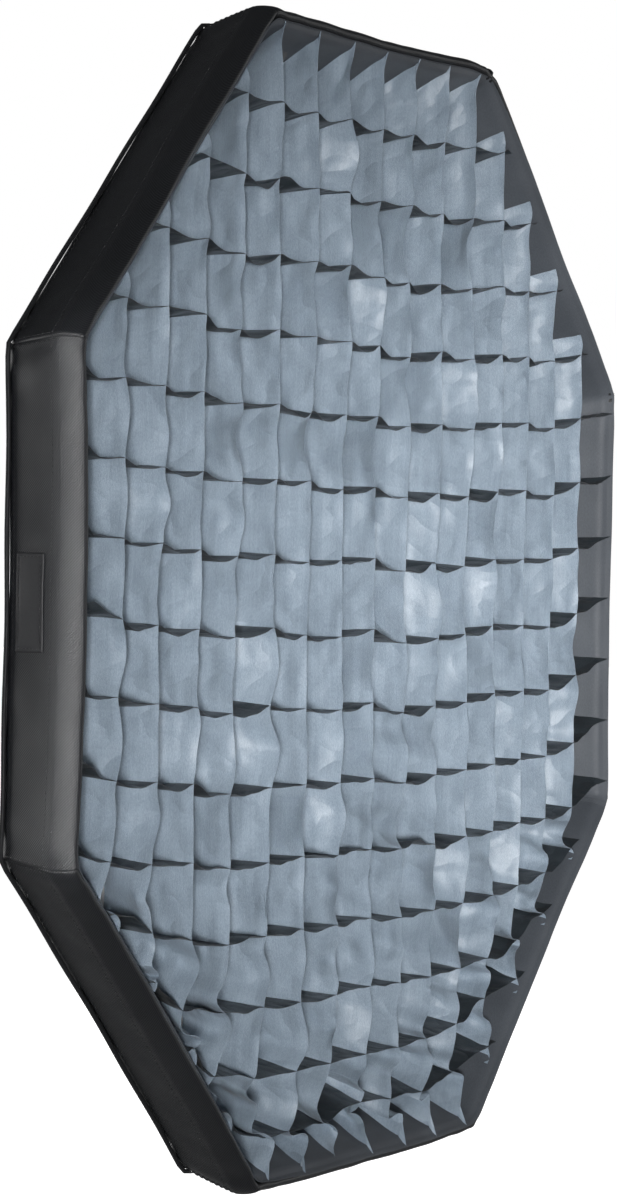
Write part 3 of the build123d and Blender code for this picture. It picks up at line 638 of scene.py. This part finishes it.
class GridCloth:
    """The strips and their border band as one cloth, joined wherever they are sewn."""

    def __init__(self):
        self.points, self.faces, self.strips = [], [], {}
        self.depths = np.linspace(GRID_REAR_D, GRID_FRONT_D, DEPTH_STEPS + 1)
        self.crossings = {}
        self.make_band()
        for kind in ("horizontal", "vertical"):
            for number in range(1, CELLS):
                self.make_strip(kind, number)

    def column(self, places):
        """New points from rear to front, at these (x, z) places."""
        first = len(self.points)
        self.points += [(x, -depth, z) for (x, z), depth in zip(places, self.depths)]
        return list(range(first, len(self.points)))

    def make_band(self):
        half = GRID_A * HALF_TAN
        self.columns, self.runs = [], []
        total = 0.0
        stops = band_stops()
        for k, (side, share) in enumerate(stops):
            out, aside = side_axes(side)
            place = (GRID_A - edge_bow(side, share)) * out + share * half * aside
            self.columns.append(self.column([(place[0], place[2])] * len(self.depths)))
            self.runs.append(total)
            following = stops[k + 1] if k + 1 < len(stops) else (0, 1)
            total += abs((1.0 if following[0] != side else following[1]) - share) * half
        self.band_faces = ribbon(self.columns, closed=True)
        self.pinned = [v for column in self.columns for v in column]
        self.band_places = np.array([self.points[c[0]] for c in self.columns])[:, [0, 2]]

    def end_column(self, kind, height, sign):
        """The border's column of points at which a strip ends."""
        flat = GRID_A * HALF_TAN
        reach = GRID_A if abs(height) < flat else GRID_A * math.sqrt(2) - abs(height)
        gap = np.hypot(*(self.band_places - placed(kind, sign * reach, height)).T)
        # On a slanted side, being at the strip's own height counts more than being near.
        off = np.abs(self.band_places[:, 1 if kind == "horizontal" else 0] - height)
        return self.columns[int(np.argmin(gap + 6 * off))]

    def crossing(self, kind, at, height):
        """The points that a row and a column share where they cross."""
        x, z = placed(kind, at, height)
        key = (round(x / PITCH), round(z / PITCH))
        if key not in self.crossings:
            self.crossings[key] = self.column([(x, z)] * len(self.depths))
        return self.crossings[key]

    def make_strip(self, kind, number):
        height = (number - CELLS / 2) * PITCH
        ends = [self.end_column(kind, height, sign) for sign in (-1, 1)]
        axis = 0 if kind == "horizontal" else 2
        low, high = (self.points[end[0]][axis] for end in ends)
        crossings = [(k - CELLS / 2) * PITCH for k in range(1, CELLS)]
        knots = [low] + [c for c in crossings if low + 3 * MM < c < high - 3 * MM] + [high]
        rows, stops = [], []
        for a, b in zip(knots, knots[1:]):
            steps = max(2, round(CELL_STEPS * (b - a) / PITCH))
            wall = RNG.normal(0, 1, 4) * min(1.0, (b - a) / PITCH)
            if kind == "horizontal":
                wall *= FLATTER_ROWS
            elif a == low or b == high:
                wall = 0.35 * wall + END_CELL
            for k in range(steps):
                at = a + (b - a) * k / steps
                stops.append(at)
                if k == 0 and a == low:
                    rows.append(ends[0])
                elif k == 0:
                    rows.append(self.crossing(kind, at, height))
                else:
                    offs = [height + bulge(wall, k / steps, n / DEPTH_STEPS) for n in range(DEPTH_STEPS + 1)]
                    rows.append(self.column([placed(kind, at, off) for off in offs]))
        rows.append(ends[1])
        stops.append(high)
        first = len(self.faces)
        self.faces += ribbon(rows)
        self.strips[kind, number] = (first, len(self.faces), rows, stops)

    def start_shape(self):
        """The band drawn in and folded, with the strips squeezed along with it."""
        points = drawn_in(self.points)
        for k, column in enumerate(self.columns):
            x, _, z = self.points[column[0]]
            angle = math.atan2(z, x)
            fold = 3.2 * MM * noise.noise(Vector((x, 0.3, z)) / 0.028) + 1.5 * MM * math.sin(k * 1.05)
            for layer, v in enumerate(column):
                share = 1 - layer / DEPTH_STEPS
                points[v, 0] += fold * share * math.cos(angle)
                points[v, 2] += fold * share * math.sin(angle)
        return points

    def settle(self):
        """Lets the strips buckle between their crossings, with the border held.
"""
        straight = np.array(self.points)
        start = self.start_shape()
        # At rest the cloth lies between the straight strips and the folded start.
        rest = 0.72 * start + 0.28 * straight
        obj = mesh_object("grid_trial", start, self.faces)
        obj.shape_key_add(name="Basis")
        key = obj.shape_key_add(name="rest")
        key.data.foreach_set("co", rest.ravel())
        pins = obj.vertex_groups.new(name="pins")
        pins.add(self.pinned, 1.0, "REPLACE")
        slack = obj.vertex_groups.new(name="slack")
        for index, (x, _, z) in enumerate(self.points):
            slack.add([index], float(slack_at(x, z)), "REPLACE")
        modifier = add_modifier(obj, "CLOTH")
        settings = dict(quality=5, mass=0.02, air_damping=2.0, rest_shape_key=key,
                        tension_stiffness=12, compression_stiffness=12, shear_stiffness=4,
                        bending_stiffness=0.02, tension_damping=5, compression_damping=5,
                        shear_damping=5, bending_damping=0.5, vertex_group_mass="pins",
                        vertex_group_shrink="slack", shrink_min=-0.025, shrink_max=-0.07)
        for name, value in settings.items():
            setattr(modifier.settings, name, value)
        modifier.settings.effector_weights.gravity = 0.25
        modifier.collision_settings.use_collision = False
        modifier.point_cache.frame_start, modifier.point_cache.frame_end = 1, SIM_FRAMES
        scene = bpy.context.scene
        for number in range(1, SIM_FRAMES + 1):
            scene.frame_set(number)
        graph = bpy.context.evaluated_depsgraph_get()
        result = np.zeros(len(start) * 3)
        obj.evaluated_get(graph).data.vertices.foreach_get("co", result)
        scene.frame_set(1)
        bpy.data.objects.remove(obj)
        return result.reshape(-1, 3)


def slack_at(x, z):
    """How slack the grid hangs: more at the slanting sides, the top and the bottom."""
    corner = max(0.0, (abs(x) + abs(z)) / (GRID_A * math.sqrt(2)) - 0.72) / 0.28
    low_or_high = max(0.0, abs(z) / GRID_A - 0.8) / 0.2
    patchy = 0.5 + 0.5 * noise.noise(Vector((x, 0, z)) / 0.16)
    return min(1.0, 0.25 * patchy + 0.75 * corner**1.3 + 0.35 * low_or_high)


def turned_edge(moved):
    """The border's front edge, laid forward over the inner half of the lip's nose.

    Returns the points with the new ones added, and the new points of each column."""
    half = (FRONT_A - LIP_INNER_A) / 2 + EDGE_CLEAR
    points, added = list(moved), []
    for side, share in band_stops():
        out, aside = side_axes(side)
        place = out + share * HALF_TAN * aside
        toward = math.atan2(place[2], place[0]) - COVERED_CENTRE
        covered = min(1.0, max(0.0, (math.cos(toward) + 0.05) / 0.25))
        last = math.radians(EDGE_SHORT + (EDGE_LONG - EDGE_SHORT) * covered)
        own = []
        for step in (0.0, 0.5, 1.0):
            turn = EDGE_START + (last - EDGE_START) * step
            apothem = LIP_MID_A - half * math.cos(turn)**0.85
            depth = NOSE_D + (LIP_D - NOSE_D + EDGE_CLEAR) * math.sin(turn)
            point = skirt_points(side, share, apothem, depth, 1.0)
            points.append(np.asarray(point).reshape(3))
            own.append(len(points) - 1)
        added.append(own)
    return np.array(points), added


def cut_out(name, moved, faces, rows, stops, offset, thick, extra=()):
    """One strip or band of the settled cloth as a piece with its own thickness.

    extra holds (point, stop) pairs beyond its rows, and offset moves its weave along."""
    index = np.array(rows)
    used = list(index.ravel()) + [v for v, _ in extra]
    local = {v: k for k, v in enumerate(used)}
    own = [[local[v] for v in face] for face in faces]
    pitch = (GRID_FRONT_D - GRID_REAR_D) / DEPTH_STEPS
    depths = GRID_REAR_D + pitch * np.arange(index.shape[1])
    uv = np.stack([np.repeat(stops, index.shape[1]) + offset, np.tile(depths, index.shape[0])], -1)
    if extra:
        uv = np.concatenate([uv, [(stop + offset, GRID_FRONT_D) for _, stop in extra]])
    piece = mesh_object(name, moved[used], own, uv)
    add_modifier(piece, "SUBSURF", levels=1, render_levels=1, boundary_smooth="PRESERVE_CORNERS")
    return sharpen(thicken(piece, thick))


def make_grid():
    cloth = GridCloth()
    moved, added = turned_edge(cloth.settle())
    tips = {tuple(column): own for column, own in zip(cloth.columns, added)}
    for (kind, number), (first, last, rows, stops) in cloth.strips.items():
        faces = cloth.faces[first:last]
        tip_points = []
        # On the level and upright sides the strip's front corner follows the turned edge.
        for end, near, stop in ((rows[0], rows[1], stops[0]), (rows[-1], rows[-2], stops[-1])):
            x, _, z = moved[end[0]]
            if min(abs(x), abs(z)) > GRID_A * HALF_TAN * 0.98:
                continue
            chain = [end[-1]] + tips[tuple(end)]
            faces = faces + [(near[-1], a, b) for a, b in zip(chain, chain[1:])]
            tip_points += [(v, stop) for v in chain[1:]]
        strip = cut_out(f"{kind}_strip_{number}", moved, faces, rows, stops,
                        number * 1.37, 0.35 * MM, tip_points)
        # The rows take the nearly black copy of the grid cloth, which paints the shade on their sides into
        # their colour.
        dress(strip, "grid_cloth", "grid", f"{kind}_strips",
              look="grid_cloth_rows_painted_shade" if kind == "horizontal" else None)
    columns = [column + own for column, own in zip(cloth.columns, added)]
    band_faces = cloth.band_faces + ribbon(columns, DEPTH_STEPS, len(columns[0]) - 1, closed=True)
    border = cut_out("grid_edge_band", moved, band_faces, columns, cloth.runs, 0.0, 0.8 * MM)
    dress(border, "border_cloth", "grid", "grid_border")
    for node, body in (("grid_hook_tape", "grid"), ("grid_loop_tape", "box")):
        low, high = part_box(node)
        tape = band(node + "_cloth", high.x - 0.6 * MM, -high.y, -low.y, 4, 1.0 * MM,
                    squeezed=node == "grid_hook_tape")
        dress(tape, "hook_loop_tape", body, node)


def band(name, apothem, near, far, rows, thick, bow=1.0, squeezed=False, slope=0.0):
    """An upright cloth band round all the sides, drawn in like the lip."""
    steps = 48
    points, uv = [], []
    total = 0.0
    for number, out, aside, share in round_the_sides(steps):
        for row in range(rows + 1):
            v = row / rows
            r = apothem + slope * (v - 0.5) - edge_bow(number, share) * bow
            place = r * out + share * apothem * HALF_TAN * aside
            place[1] = -(near + (far - near) * v)
            points.append(place)
            uv.append((total, v * (far - near)))
        total += 2 * apothem * HALF_TAN / steps
    if squeezed:
        points = drawn_in(points)
    faces = lattice(SIDES * steps, rows + 1, closed=True)
    return sharpen(thicken(mesh_object(name, points, faces, uv), thick))


# ---------------------------------------------------------------- shell
CHORD = np.array([REAR_A - THROAT_A, RIM_D - THROAT_D])
CHORD_LENGTH = float(np.linalg.norm(CHORD))
SHELL_OUT = np.array([CHORD[1], -CHORD[0]]) / CHORD_LENGTH    # away from the light, in apothem and depth
SHELL_T, LINING_T, CLOTH_GAP = 1.2 * MM, 0.8 * MM, 0.2 * MM
SCALLOP = 10 * MM


def shell_points(number, share, along, inset=0.0, ripple=1.0):
    """Points of the shell at these shares across a side, and along it from throat to rim."""
    share, along, inset = np.broadcast_arrays(share, along, inset)
    out, aside = side_axes(number)
    bow = SHELL_BOW * 4 * along * (1 - along)
    apothem = THROAT_A + CHORD[0] * along
    half_side = apothem * HALF_TAN
    from_rib = (1 - np.abs(share)) * half_side
    drawn = SCALLOP * (1 - share**2)**1.2 * np.sin(math.pi * np.clip(along * 0.97 + 0.03, 0, 1))**0.7
    across = share * half_side
    pleat = 0.9 * MM * np.exp(-along / 0.07) * np.sin(across / (2.7 * MM) + number)
    tension = 1.3 * MM * np.exp(-(1 - along) / 0.16 - from_rib / (50 * MM))
    tension = tension * np.sin((from_rib * 0.9 + (1 - along) * 0.344) / (7.5 * MM) + number * 1.3)
    pull = 0.9 * MM * np.exp(-from_rib / (30 * MM))
    pull = pull * np.sin(along * CHORD_LENGTH / (13 * MM) + number * 2.0 + share)
    lift = bow - drawn + (pleat + tension + pull) * ripple * np.clip(from_rib / (6 * MM), 0, 1)
    points = apothem[..., None] * out + across[..., None] * aside
    points[..., 1] = -(THROAT_D + CHORD[1] * along)
    flat = points.reshape(-1, 3)
    slow = soft_noise(flat, 0.10, number + 60) * 2.2 * MM + soft_noise(flat, 0.03, number + 80) * 0.6 * MM
    slow = slow.reshape(share.shape) * np.clip(from_rib / (30 * MM), 0, 1) * np.clip((1 - along) * 8, 0, 1)
    lift = lift + slow * ripple - inset
    return points + lift[..., None] * (SHELL_OUT[0] * out - SHELL_OUT[1] * REARWARD)


def closed_sheet(name, outer, inner, uv):
    """A cloth with two faces, given as two lattices of the same size, and its four edges."""
    points = np.concatenate([outer.reshape(-1, 3), inner.reshape(-1, 3)])
    faces = closed_faces(*outer.shape[:2])
    return sharpen(mesh_object(name, points, faces, np.concatenate([uv.reshape(-1, 2)] * 2)))


def make_shell():
    share = np.linspace(-1, 1, 61)[None, :]
    along = np.linspace(0, 0.996, 71)[:, None]
    across = share * (THROAT_A + CHORD[0] * along) * HALF_TAN
    run = np.broadcast_to(along * CHORD_LENGTH, across.shape)
    inside = SHELL_T + CLOTH_GAP
    for number in range(SIDES):
        uv = np.stack([across + number * 0.53, run], -1)
        layers = [("shell_gore", 0.0, SHELL_T, "shell_cloth", f"shell_panel_{number + 1}"),
                  ("lining_gore", inside, inside + LINING_T, "lining_cloth", "reflector_lining")]
        for label, near, far, slot, node in layers:
            outer = shell_points(number, share, along, near)
            # The inner faces are drawn back from the ribs, so that neighbours don't cross.
            inner = shell_points(number, share * 0.9985, along, far)
            piece = closed_sheet(f"{label}_{number + 1}", outer, inner, uv)
            dress(piece, slot, "box", node)


def make_bindings():
    """Tape over the seam between each two sides, with a row of stitches along each edge."""
    along = np.linspace(0.08, 0.985, 121)
    offsets = np.linspace(-1, 1, 13)
    half, rise = 4.2 * MM, 0.9 * MM
    half_side = (THROAT_A + CHORD[0] * along) * HALF_TAN
    points, faces, uv, lines = [], [], [], []
    for number in range(SIDES):
        outer, inner = [], []
        for offset in offsets:
            side, end = (number, 1) if offset < 0 else (number + 1, -1)
            share = end * (1 - abs(offset) * half / half_side)
            lift = rise * (1 - 0.75 * abs(offset)**6) * (1 + 0.25 * math.cos(offset * 9)) + CLOTH_GAP
            outer.append(shell_points(side, share, along, -lift))
            inner.append(shell_points(side, share, along, -0.1 * CLOTH_GAP))
            if abs(abs(offset) - 2 / 3) < 0.01:
                outward = side_axes(side)[0] * SHELL_OUT[0] - REARWARD * SHELL_OUT[1]
                lines.append((outer[-1] + 0.1 * MM * outward, outward))
        mapped = np.stack(np.broadcast_arrays(offsets[:, None] * half + number, along * CHORD_LENGTH), -1)
        faces += closed_faces(len(offsets), len(along), len(points))
        points += list(np.array(outer + inner).reshape(-1, 3))
        uv += list(mapped.reshape(-1, 2)) * 2
    dress(mesh_object("seam_tapes", points, faces, uv), "binding_tape", "box", "seam_bindings")
    stitches("seam_stitches", lines, spacing=6.5 * MM, length=4.2 * MM)


def make_collar():
    """The gathered hem round the throat, open at the lock."""
    hub_low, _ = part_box("hub_ring")
    along = np.linspace(-0.018, 0.06, 15)
    roll = 0.5 * MM * gauss(along - 0.055, 0.006) + 0.8 * MM * gauss(along + 0.01, 0.008)
    outer, inner, uv = [], [], []
    for number, _, _, share in round_the_sides(60):
        gather = 0.45 * MM * (1 + math.sin((share * 34 + number * 272) * 0.5) * 0.8)
        outer.append(shell_points(number, share, along, -(CLOTH_GAP + SHELL_T + gather + roll), 0.0))
        inner.append(shell_points(number, share, along, -CLOTH_GAP, 0.0))
        uv.append(np.stack([np.full(len(along), number * 0.07 + share * 0.035), along * CHORD_LENGTH], -1))
    outer, inner, uv = np.array(outer), np.array(inner), np.array(uv)
    rows, columns = outer.shape[:2]
    count = rows * columns
    at_lock = (np.abs(outer[:, 0, 0]) < 12 * MM) & (outer[:, 0, 2] < 0)
    faces = []
    for i in range(rows):
        k = (i + 1) % rows
        for j in range(columns - 1):
            if (at_lock[i] or at_lock[k]) and -outer[i, j, 2] < -hub_low.z + 2 * MM:
                continue
            a, b, c, d = i * columns + j, k * columns + j, k * columns + j + 1, i * columns + j + 1
            faces += [(a, d, c, b), (count + a, count + b, count + c, count + d)]

    def edges(face):
        return list(zip(face, face[1:] + face[:1]))

    # What is left open, round the hem and at the lock, is closed between the outer and inner face.
    uses = Counter(frozenset(edge) for face in faces for edge in edges(face))
    for p, q in [edge for face in faces for edge in edges(face)]:
        if uses[frozenset((p, q))] == 1 and p < count and q < count:
            faces.append((q, p, p + count, q + count))
    points = np.concatenate([outer.reshape(-1, 3), inner.reshape(-1, 3)])
    collar = mesh_object("throat_hem", points, faces, np.concatenate([uv.reshape(-1, 2)] * 2))
    dress(sharpen(collar), "collar_cloth", "box", "rear_collar")


# ---------------------------------------------------------------- diffuser, baffle and their fixings
def octagon_sheet(name, apothem, depth, wave, seed, rings, bow):
    """A stretched cloth with eight sides, with wrinkles that run in from its edge."""
    steps = 12
    points, uv = [(0, -depth, 0)], [(0, 0)]
    for ring in range(1, rings + 1):
        size = ring / rings
        for number, out, aside, share in round_the_sides(steps):
            r = apothem * size - bow * edge_bow(number, share) * size
            place = r * out + share * apothem * size * HALF_TAN * aside
            points.append((place[0], -depth, place[2]))
            uv.append((place[0], place[2]))
    points = np.array(points)
    radius = np.hypot(points[:, 0], points[:, 2]) / apothem
    angle = np.arctan2(points[:, 2], points[:, 0])
    edge = np.clip((radius - 0.55) / 0.45, 0, 1)
    wrinkle = edge**1.5 * np.sin(angle * 44 + 3 * np.sin(angle * 5 + seed))
    wrinkle = wrinkle * (0.5 + 0.5 * np.sin(angle * 7 + seed))
    rim = np.clip((1 - radius) / 0.06, 0, 1)
    points[:, 1] += wave * (0.35 * wrinkle + 0.65 * soft_noise(points, 0.16, seed) + 0.5) * rim
    count = SIDES * steps
    faces = [(0, 1 + (k + 1) % count, 1 + k) for k in range(count)]
    faces += lattice(rings, count, wrap=True, start=1)
    return thicken(mesh_object(name, points, faces, uv), 0.5 * MM)


def make_sheets():
    # CAD node, slot and name, body, distance behind the CAD's sheet, wrinkles, seed, rings, bow
    sheets = [("diffuser_sheet", "diffuser_cloth", "diffuser", 0.3 * MM, 3.0 * MM, 3, 46, 0.6),
              ("baffle_sheet", "baffle_cloth", "box", 0.0, 2.4 * MM, 8, 30, 0.0)]
    for node, cloth, body, behind, wave, seed, rings, bow in sheets:
        low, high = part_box(node)
        apothem = high.x
        piece = octagon_sheet(cloth, apothem, -(low.y + high.y) / 2 - behind, wave, seed, rings, bow)
        dress(piece, cloth, body, node)
    bands = [("diffuser_hem", "diffuser_cloth", "diffuser", 0.6 * MM),
             ("diffuser_hook_tape", "hook_loop_tape", "diffuser", 1.0 * MM),
             ("diffuser_loop_tape", "hook_loop_tape", "box", 1.0 * MM),
             ("baffle_hem", "baffle_cloth", "box", 2.0 * MM)]
    for node, slot, body, thick in bands:
        low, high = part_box(node)
        near, far = -high.y, -low.y
        # The bands at the diffuser lie along the skirt, which widens towards the front.
        by_skirt = node != "baffle_hem"
        run = (FRONT_A - REAR_A) / (NOSE_D - RIM_D) * (far - near) * by_skirt
        piece = band(node + "_cloth", high.x - thick / 2 - run / 2, near, far, 6, thick,
                     bow=0.6 * by_skirt, slope=run)
        dress(piece, slot, body, node)


def seen_from_corner(node):
    """The points of a CAD node, seen from the first corner: radius, offset across it and depth."""
    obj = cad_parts[node]
    co = np.array([obj.matrix_world @ v.co for v in obj.data.vertices])
    out, aside = side_axes(0.5)
    return co @ out, co @ aside, -co[:, 1]


def tip_line():
    """The end of a rod and the way it points, in the plane of its corner: (radius, depth) pairs."""
    radius, _, depth = seen_from_corner("rod_1")
    order = radius + depth
    end = order > order.max() - 6 * MM
    tip = np.array([radius[end].mean(), depth[end].mean()])
    back = (order < order.max() - 20 * MM) & (order > order.max() - 60 * MM)
    ahead = tip - np.array([radius[back].mean(), depth[back].mean()]) if back.any() else CHORD
    return tip, ahead / np.linalg.norm(ahead)


# (place along the rod from its tip, radius of the sleeve there), in mm
SLEEVE = [(-21.5, 6.5), (-21.3, 6.9), (-20, 7.0), (-18.5, 6.9), (-17.8, 6.4), (-12, 6.3), (-6, 6.2),
          (-2, 6.0), (0.6, 5.3), (1.8, 3.6), (2.3, 0.6)]


def make_pockets():
    """A stitched webbing sleeve over the tip of each rod."""
    segments = 28
    tip, ahead = tip_line()
    for corner in range(SIDES):
        radial, _ = side_axes(corner + 0.5)
        line = ahead[0] * radial - ahead[1] * REARWARD
        up = ahead[1] * radial + ahead[0] * REARWARD
        over = np.cross(line, up)
        points, uv = [], []
        for at, size in SLEEVE:
            for a in np.linspace(0, 2 * math.pi, segments, endpoint=False):
                flat = 1 - 0.10 * math.cos(2 * a)
                wobble = 1 + 0.03 * math.sin(3 * a + at + corner)
                middle = tip[0] * radial - tip[1] * REARWARD + line * at * MM
                turned = up * math.cos(a) * 0.9 + over * math.sin(a)
                points.append(middle + turned * flat * size * wobble * MM)
                uv.append((a * size * MM + corner, at * MM))
        faces = lattice(len(SLEEVE), segments, wrap=True)
        faces.append(tuple(range(len(points) - segments, len(points))))
        sleeve = thicken(mesh_object(f"tip_sleeve_{corner + 1}", points, faces, uv), 1.3 * MM, -1.0)
        dress(sleeve, "pocket_web", "box", "corner_pockets")


def make_straps():
    """Flat elastic from each corner of the baffle to the ring on its rod."""
    radius, across, depth = seen_from_corner("baffle_straps")
    mine = (np.abs(across) < 8 * MM) & (radius > 0)
    start, end = radius[mine].min() - 3 * MM, radius[mine].max() + 0.15 * MM
    depth = depth[mine].mean()
    rows, columns = 31, 9
    for number in range(SIDES):
        radial, aside = side_axes(number + 0.5)
        points, uv = [], []
        for u in np.linspace(0, 1, rows):
            width = 5 * MM * (1 - 0.12 * math.sin(math.pi * u))
            twist = 0.25 * math.sin(math.pi * u) * (1 if number % 2 else -1)
            for v in np.linspace(-1, 1, columns):
                rib = 0.12 * MM * math.cos(v * 12)
                spot = radial * (start + (end - start) * u) + aside * v * width * math.cos(twist)
                points.append(spot - REARWARD * (depth + v * width * math.sin(twist) + rib))
                uv.append((v * width + number, u * (end - start)))
        strap = mesh_object(f"baffle_elastic_{number + 1}", points, lattice(rows, columns), uv)
        dress(sharpen(thicken(strap, 0.9 * MM)), "elastic_tape", "box", "baffle_straps")


# ---------------------------------------------------------------- the hard parts, which stay as they are
HARD_PARTS = {"insert_metal": ["mount_insert", "retaining_ring"],
              "fastener_steel": ["retainer_screws", "brake_shoe", "lock_screw", "strap_rings"],
              "hub_metal": ["hub_ring"], "knob_plastic": ["lock_knob"], "ferrule_metal": ["rod_ferrules"],
              "tip_rubber": ["rod_tips"], "rod_glass_fibre": [f"rod_{k + 1}" for k in range(SIDES)]}


def finish_hard_parts():
    for look, nodes in HARD_PARTS.items():
        for node in nodes:
            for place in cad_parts[node].material_slots:
                place.material = MATERIALS[look]


# ---------------------------------------------------------------- stage, light and camera
WHITE = (1, 1, 1, 1)
FLOOR_DROP = 0.30                 # from the bottom of the box to the floor
FLOOR_GREY = (0.6, 0.6, 0.6, 1)
FLOOR_GLOW = 0.98                 # for the camera only
SKY_TINT, SKY_LEVEL = (0.93, 0.96, 1.0, 1), 0.09


def make_stage():
    bpy.ops.mesh.primitive_plane_add(size=40, location=(0, 0, CAD_BOX[0].z - FLOOR_DROP))
    floor = bpy.context.object
    floor.name = "floor"
    n = Nodes(bpy.data.materials.new("floor"))
    plain = n.add("ShaderNodeBsdfDiffuse", {"Color": FLOOR_GREY})
    glow = n.add("ShaderNodeEmission", {"Color": WHITE})
    n.link(n.times((n.add("ShaderNodeLightPath"), "Is Camera Ray"), FLOOR_GLOW), glow, "Strength")
    both = n.add("ShaderNodeAddShader")
    n.link((plain, 0), both, 0)
    n.link((glow, 0), both, 1)
    n.link((both, 0), n.output, "Surface")
    floor.data.materials.append(n.owner)


def make_world():
    """A dim sky for the object, which the camera and clear things see as white."""
    world = bpy.data.worlds.new("world")
    bpy.context.scene.world = world
    n = Nodes(world, "ShaderNodeOutputWorld")
    shown = n.add("ShaderNodeBackground", {"Color": WHITE})
    lighting = n.add("ShaderNodeBackground", {"Color": SKY_TINT, "Strength": SKY_LEVEL})
    path = n.add("ShaderNodeLightPath")
    mix = n.add("ShaderNodeMixShader")
    n.link(n.math("MAXIMUM", (path, "Is Camera Ray"), (path, "Is Transmission Ray")), mix, 0)
    n.link((lighting, 0), mix, 1)
    n.link((shown, 0), mix, 2)
    n.link((mix, 0), n.output, "Surface")


# Name, place, target, size, watts and spread in degrees. A narrow spread keeps the lamp's whole
# power, so the key and the strip are far brighter in their beams than their watts say.
LIGHTS = [("key", (-4.0, -2.6, -0.15), (0.32, -LIP_D, 0), (0.7, 0.7), 4.2, 19),
          ("left_strip", (-3.2, 0.35, 0), (-0.472, -LIP_D, 0), (0.02, 0.42), 0.075, 1.6),
          ("right_fill", (2.6, -2.6, 0.1), (0, -LIP_D, 0), (1.2, 1.2), 22, 180),
          ("rear_fill", (1.9, 2.8, -0.1), (0, 0, 0), (2.0, 1.2), 90, 180),
          ("rear_side", (-0.5, 3.4, 0.1), (0, 0, 0), (1.6, 1.0), 30, 180)]


def make_lights():
    for name, place, target, size, power, spread in LIGHTS:
        data = bpy.data.lights.new(name, "AREA")
        data.shape = "RECTANGLE"
        data.size, data.size_y = size
        data.energy = power
        data.spread = math.radians(spread)
        obj = bpy.data.objects.new(name, data)
        bpy.context.scene.collection.objects.link(obj)
        obj.location = place
        obj.rotation_euler = (Vector(target) - Vector(place)).to_track_quat("-Z", "Y").to_euler()
        obj.visible_camera = False


# The camera stands in front and to the left of the box, at about its middle height.
CAMERA_YAW = 60.92
CAMERA_PITCH = -0.90
CAMERA_ROLL = 0.93
CAMERA_DISTANCE = 6.344           # in front apothems, as the next two
CAMERA_ASIDE = -0.1304
CAMERA_UP = -0.0016
FOCAL_SHARE = 3577 / 1200         # focal length over the picture's long side


def make_camera():
    yaw, pitch, roll = (math.radians(a) for a in (CAMERA_YAW, CAMERA_PITCH, CAMERA_ROLL))
    ahead = Vector((math.sin(yaw) * math.cos(pitch), math.cos(yaw) * math.cos(pitch), math.sin(pitch)))
    right = Vector((math.cos(yaw), -math.sin(yaw), 0))
    up = right.cross(ahead)
    turned_right = math.cos(roll) * right + math.sin(roll) * up
    turned_up = -math.sin(roll) * right + math.cos(roll) * up
    centre = Vector((0, -LIP_D, 0))
    place = centre + FRONT_A * (-CAMERA_DISTANCE * ahead + CAMERA_ASIDE * right + Vector((0, 0, CAMERA_UP)))
    data = bpy.data.cameras.new("camera")
    data.sensor_width = 36
    data.lens = FOCAL_SHARE * data.sensor_width
    camera = bpy.data.objects.new("camera", data)
    bpy.context.scene.collection.objects.link(camera)
    axes = Matrix((turned_right, turned_up, -ahead)).transposed()
    camera.matrix_world = Matrix.Translation(place) @ axes.to_4x4()
    data.clip_start, data.clip_end = 0.05, 100
    bpy.context.scene.camera = camera


def main():
    scene = bpy.context.scene
    scene.view_settings.view_transform = "Standard"
    make_camera()
    make_world()
    make_stage()
    make_lights()
    make_skirt()
    make_patch()
    make_piping()
    make_grid()
    make_shell()
    make_bindings()
    make_collar()
    make_sheets()
    make_pockets()
    make_straps()
    finish_hard_parts()


main()
